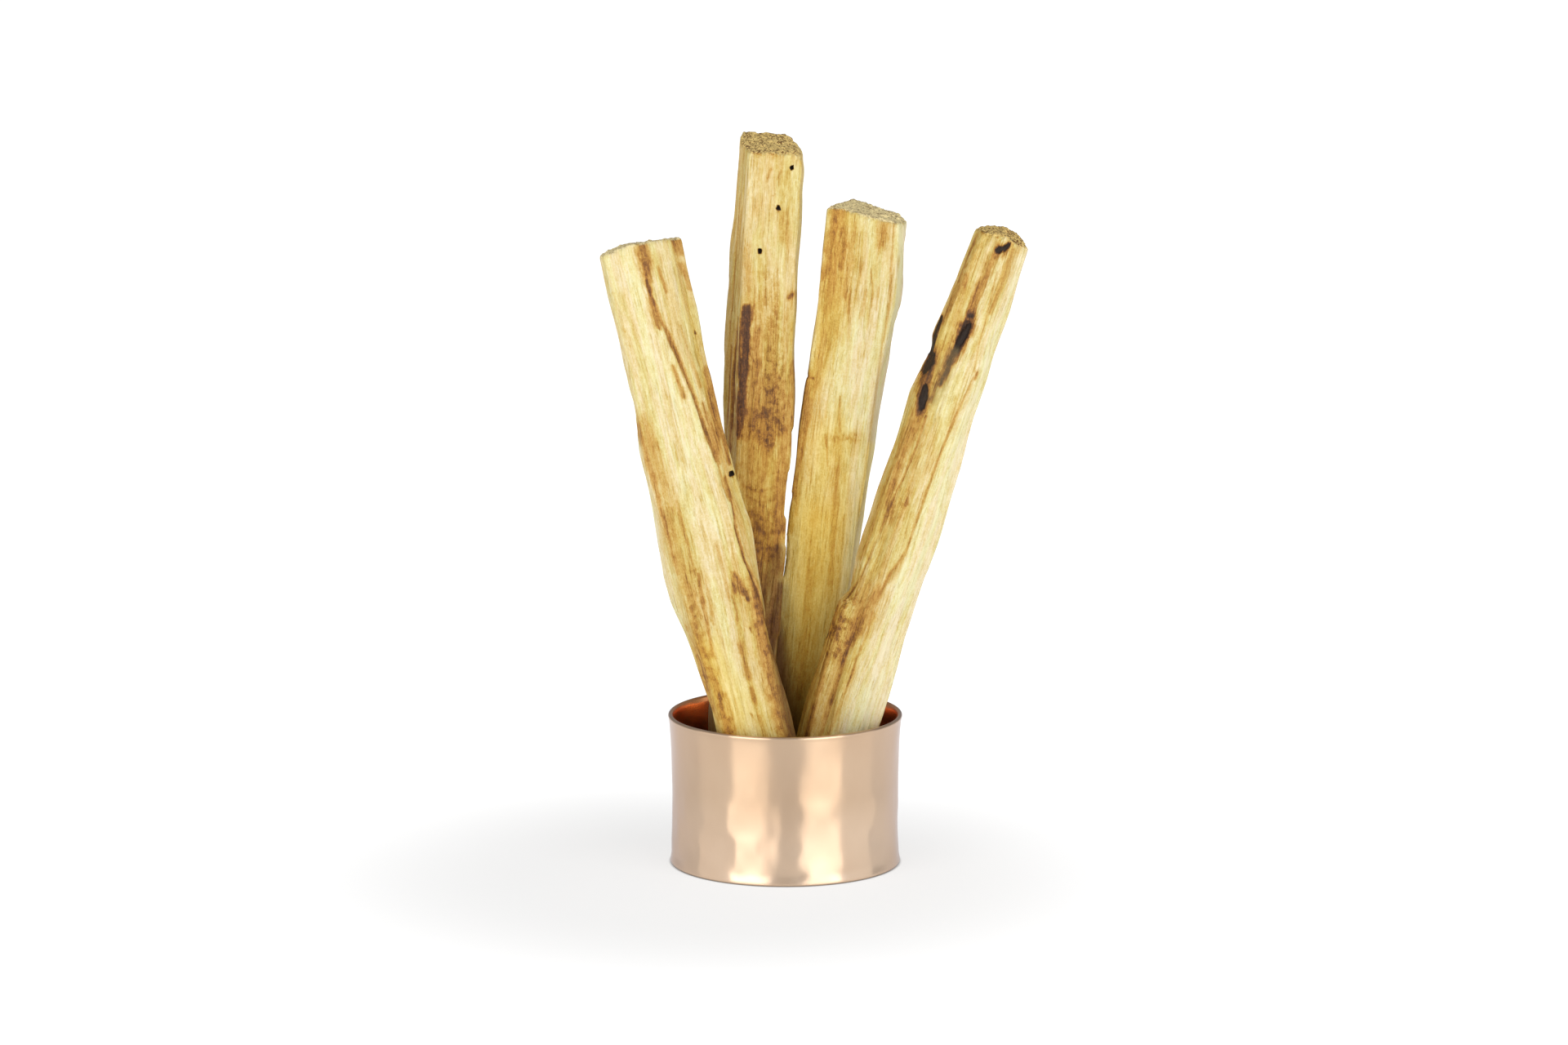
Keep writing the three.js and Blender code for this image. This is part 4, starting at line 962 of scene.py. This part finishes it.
def make_cup(outside, inside):
    """The cup, spun from its section and then hammered."""
    bm = bmesh.new()
    line = [bm.verts.new((radius * MM, 0, height * MM)) for radius, height in cup_profile()]
    edges = [bm.edges.new(pair) for pair in zip(line, line[1:])]
    bmesh.ops.spin(
        bm, geom=line + edges, cent=ORIGIN, axis=(0, 0, 1), angle=2 * math.pi,
        steps=CUP_SEGMENTS, use_merge=True,
    )
    bmesh.ops.remove_doubles(bm, verts=bm.verts, dist=0.001 * MM)
    bmesh.ops.recalc_face_normals(bm, faces=bm.faces)
    mesh = bpy.data.meshes.new("copper_cup_hammered")
    bm.to_mesh(mesh)
    bm.free()
    places = np.zeros(len(mesh.vertices) * 3)
    mesh.vertices.foreach_get("co", places)
    places = places.reshape(-1, 3) / MM
    radius = np.maximum(np.hypot(places[:, 0], places[:, 1]), 1e-6)
    height = places[:, 2]
    wall = step(0.3, 2.0, height) * (1 - step(CUP_HEIGHT - 1.5, CUP_HEIGHT, height))
    wall *= step(CUP_WAIST_RADIUS - 2.5, CUP_WAIST_RADIUS - 1.5, radius)
    sink = (HAMMER_DEPTH - HAMMER_DEPTH_LOST * step(8, 20, height)) * hammer_marks(places) * wall
    places[:, :2] *= (1 - sink / radius)[:, None]
    mesh.vertices.foreach_set("co", (places * MM).ravel())
    mesh.materials.append(outside)
    mesh.materials.append(inside)
    for polygon in mesh.polygons:
        inward = polygon.center.x * polygon.normal.x + polygon.center.y * polygon.normal.y < 0
        inner_floor = polygon.normal.z > 0.5 and polygon.center.z < CUP_WAIST_HEIGHT * MM
        polygon.material_index = int(inward or inner_floor)
    mesh.update()
    mesh.shade_smooth()
    piece = bpy.data.objects.new("copper_cup_hammered", mesh)
    bpy.context.scene.collection.objects.link(piece)
    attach(piece, "root")
    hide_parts("copper_cup")


def hammer_marks(places):
    """How far the hammer has pushed the wall in, from 0 to about 1."""
    angle = np.arctan2(places[:, 1], places[:, 0])
    unrolled = np.stack([
        CUP_WAIST_RADIUS * np.cos(angle), CUP_WAIST_RADIUS * np.sin(angle), places[:, 2],
    ], axis=1)
    return 0.5 + 0.8 * noise(unrolled, HAMMER_SIZE, 61) + 0.35 * noise(unrolled, SMALL_HAMMER_SIZE, 62)


def white_paper():
    """A white sweep that glows by itself as painted light, less under and beside the cup as painted shadow.
    """
    finish = Finish("white_paper")
    place = finish.place()
    from_cup = finish.distance(place, ORIGIN)
    from_painted_shadow = finish.distance(place, SHADOW_MIDDLE)
    # Painted shadow: the glow is cut round the cup's foot and in a soft patch beside it.
    painted_glow = from_cup.rise(*PAINTED_CONTACT_SHADOW) * NEAR_GLOW + from_painted_shadow.rise(*SHADOW_REACH) * ADDED_GLOW
    finish.set({
        "Base Color": (0.3, 0.3, 0.3, 1.0),
        "Roughness": 0.9,
        "Emission Color": finish.grey(painted_glow),
        "Emission Strength": 1.0,
        "Specular IOR Level": 0.0,
    })
    return finish.material


def make_floor():
    """The paper, as one flat sheet."""
    bm = bmesh.new()
    bmesh.ops.create_grid(bm, x_segments=2, y_segments=2, size=FLOOR_REACH)
    mesh = bpy.data.meshes.new("floor")
    bm.to_mesh(mesh)
    bm.free()
    mesh.materials.append(white_paper())
    floor = bpy.data.objects.new("floor", mesh)
    bpy.context.scene.collection.objects.link(floor)


def make_softbox(name, azimuth, elevation, distance, size, power, only_mirrored):
    """A soft light, turned to the object. One that is only mirrored shows in shiny surfaces alone."""
    light = bpy.data.lights.new(name, "AREA")
    light.shape = "RECTANGLE"
    light.size, light.size_y = size
    light.energy = power
    lamp = bpy.data.objects.new(name, light)
    a, e = math.radians(azimuth), math.radians(elevation)
    direction = Vector((math.sin(a) * math.cos(e), -math.cos(a) * math.cos(e), math.sin(e)))
    lamp.location = Vector((0, 0, LIT_HEIGHT)) + direction * distance
    lamp.rotation_euler = direction.to_track_quat("Z", "Y").to_euler()
    lamp.visible_diffuse = not only_mirrored
    bpy.context.scene.collection.objects.link(lamp)


def make_camera():
    """The camera, where the picture was taken from."""
    camera = bpy.data.cameras.new("camera")
    camera.lens = LENS
    camera.sensor_width = SENSOR
    camera.clip_start = 0.05
    camera.clip_end = 20.0
    seen = bpy.data.objects.new("camera", camera)
    seen.location = (CAMERA_PLACE + [AIM_ASIDE, 0, 0]) * MM
    seen.rotation_euler = Euler((math.pi / 2 - CAMERA_ELEVATION, 0, 0))
    bpy.context.scene.collection.objects.link(seen)
    bpy.context.scene.camera = seen


def make_world():
    """An even white surround."""
    world = bpy.data.worlds.new("studio")
    world.use_nodes = True
    background = world.node_tree.nodes["Background"]
    background.inputs["Color"].default_value = (1.0, 1.0, 1.0, 1.0)
    background.inputs["Strength"].default_value = STUDIO_STRENGTH
    bpy.context.scene.world = world
    bpy.context.scene.view_settings.view_transform = "Standard"


make_camera()
make_world()
make_floor()
for light_name, light_place in LIGHTS.items():
    make_softbox(light_name, *light_place)
make_cup(satin_copper(), polished_copper())
for stick in STICKS:
    make_stick(stick)
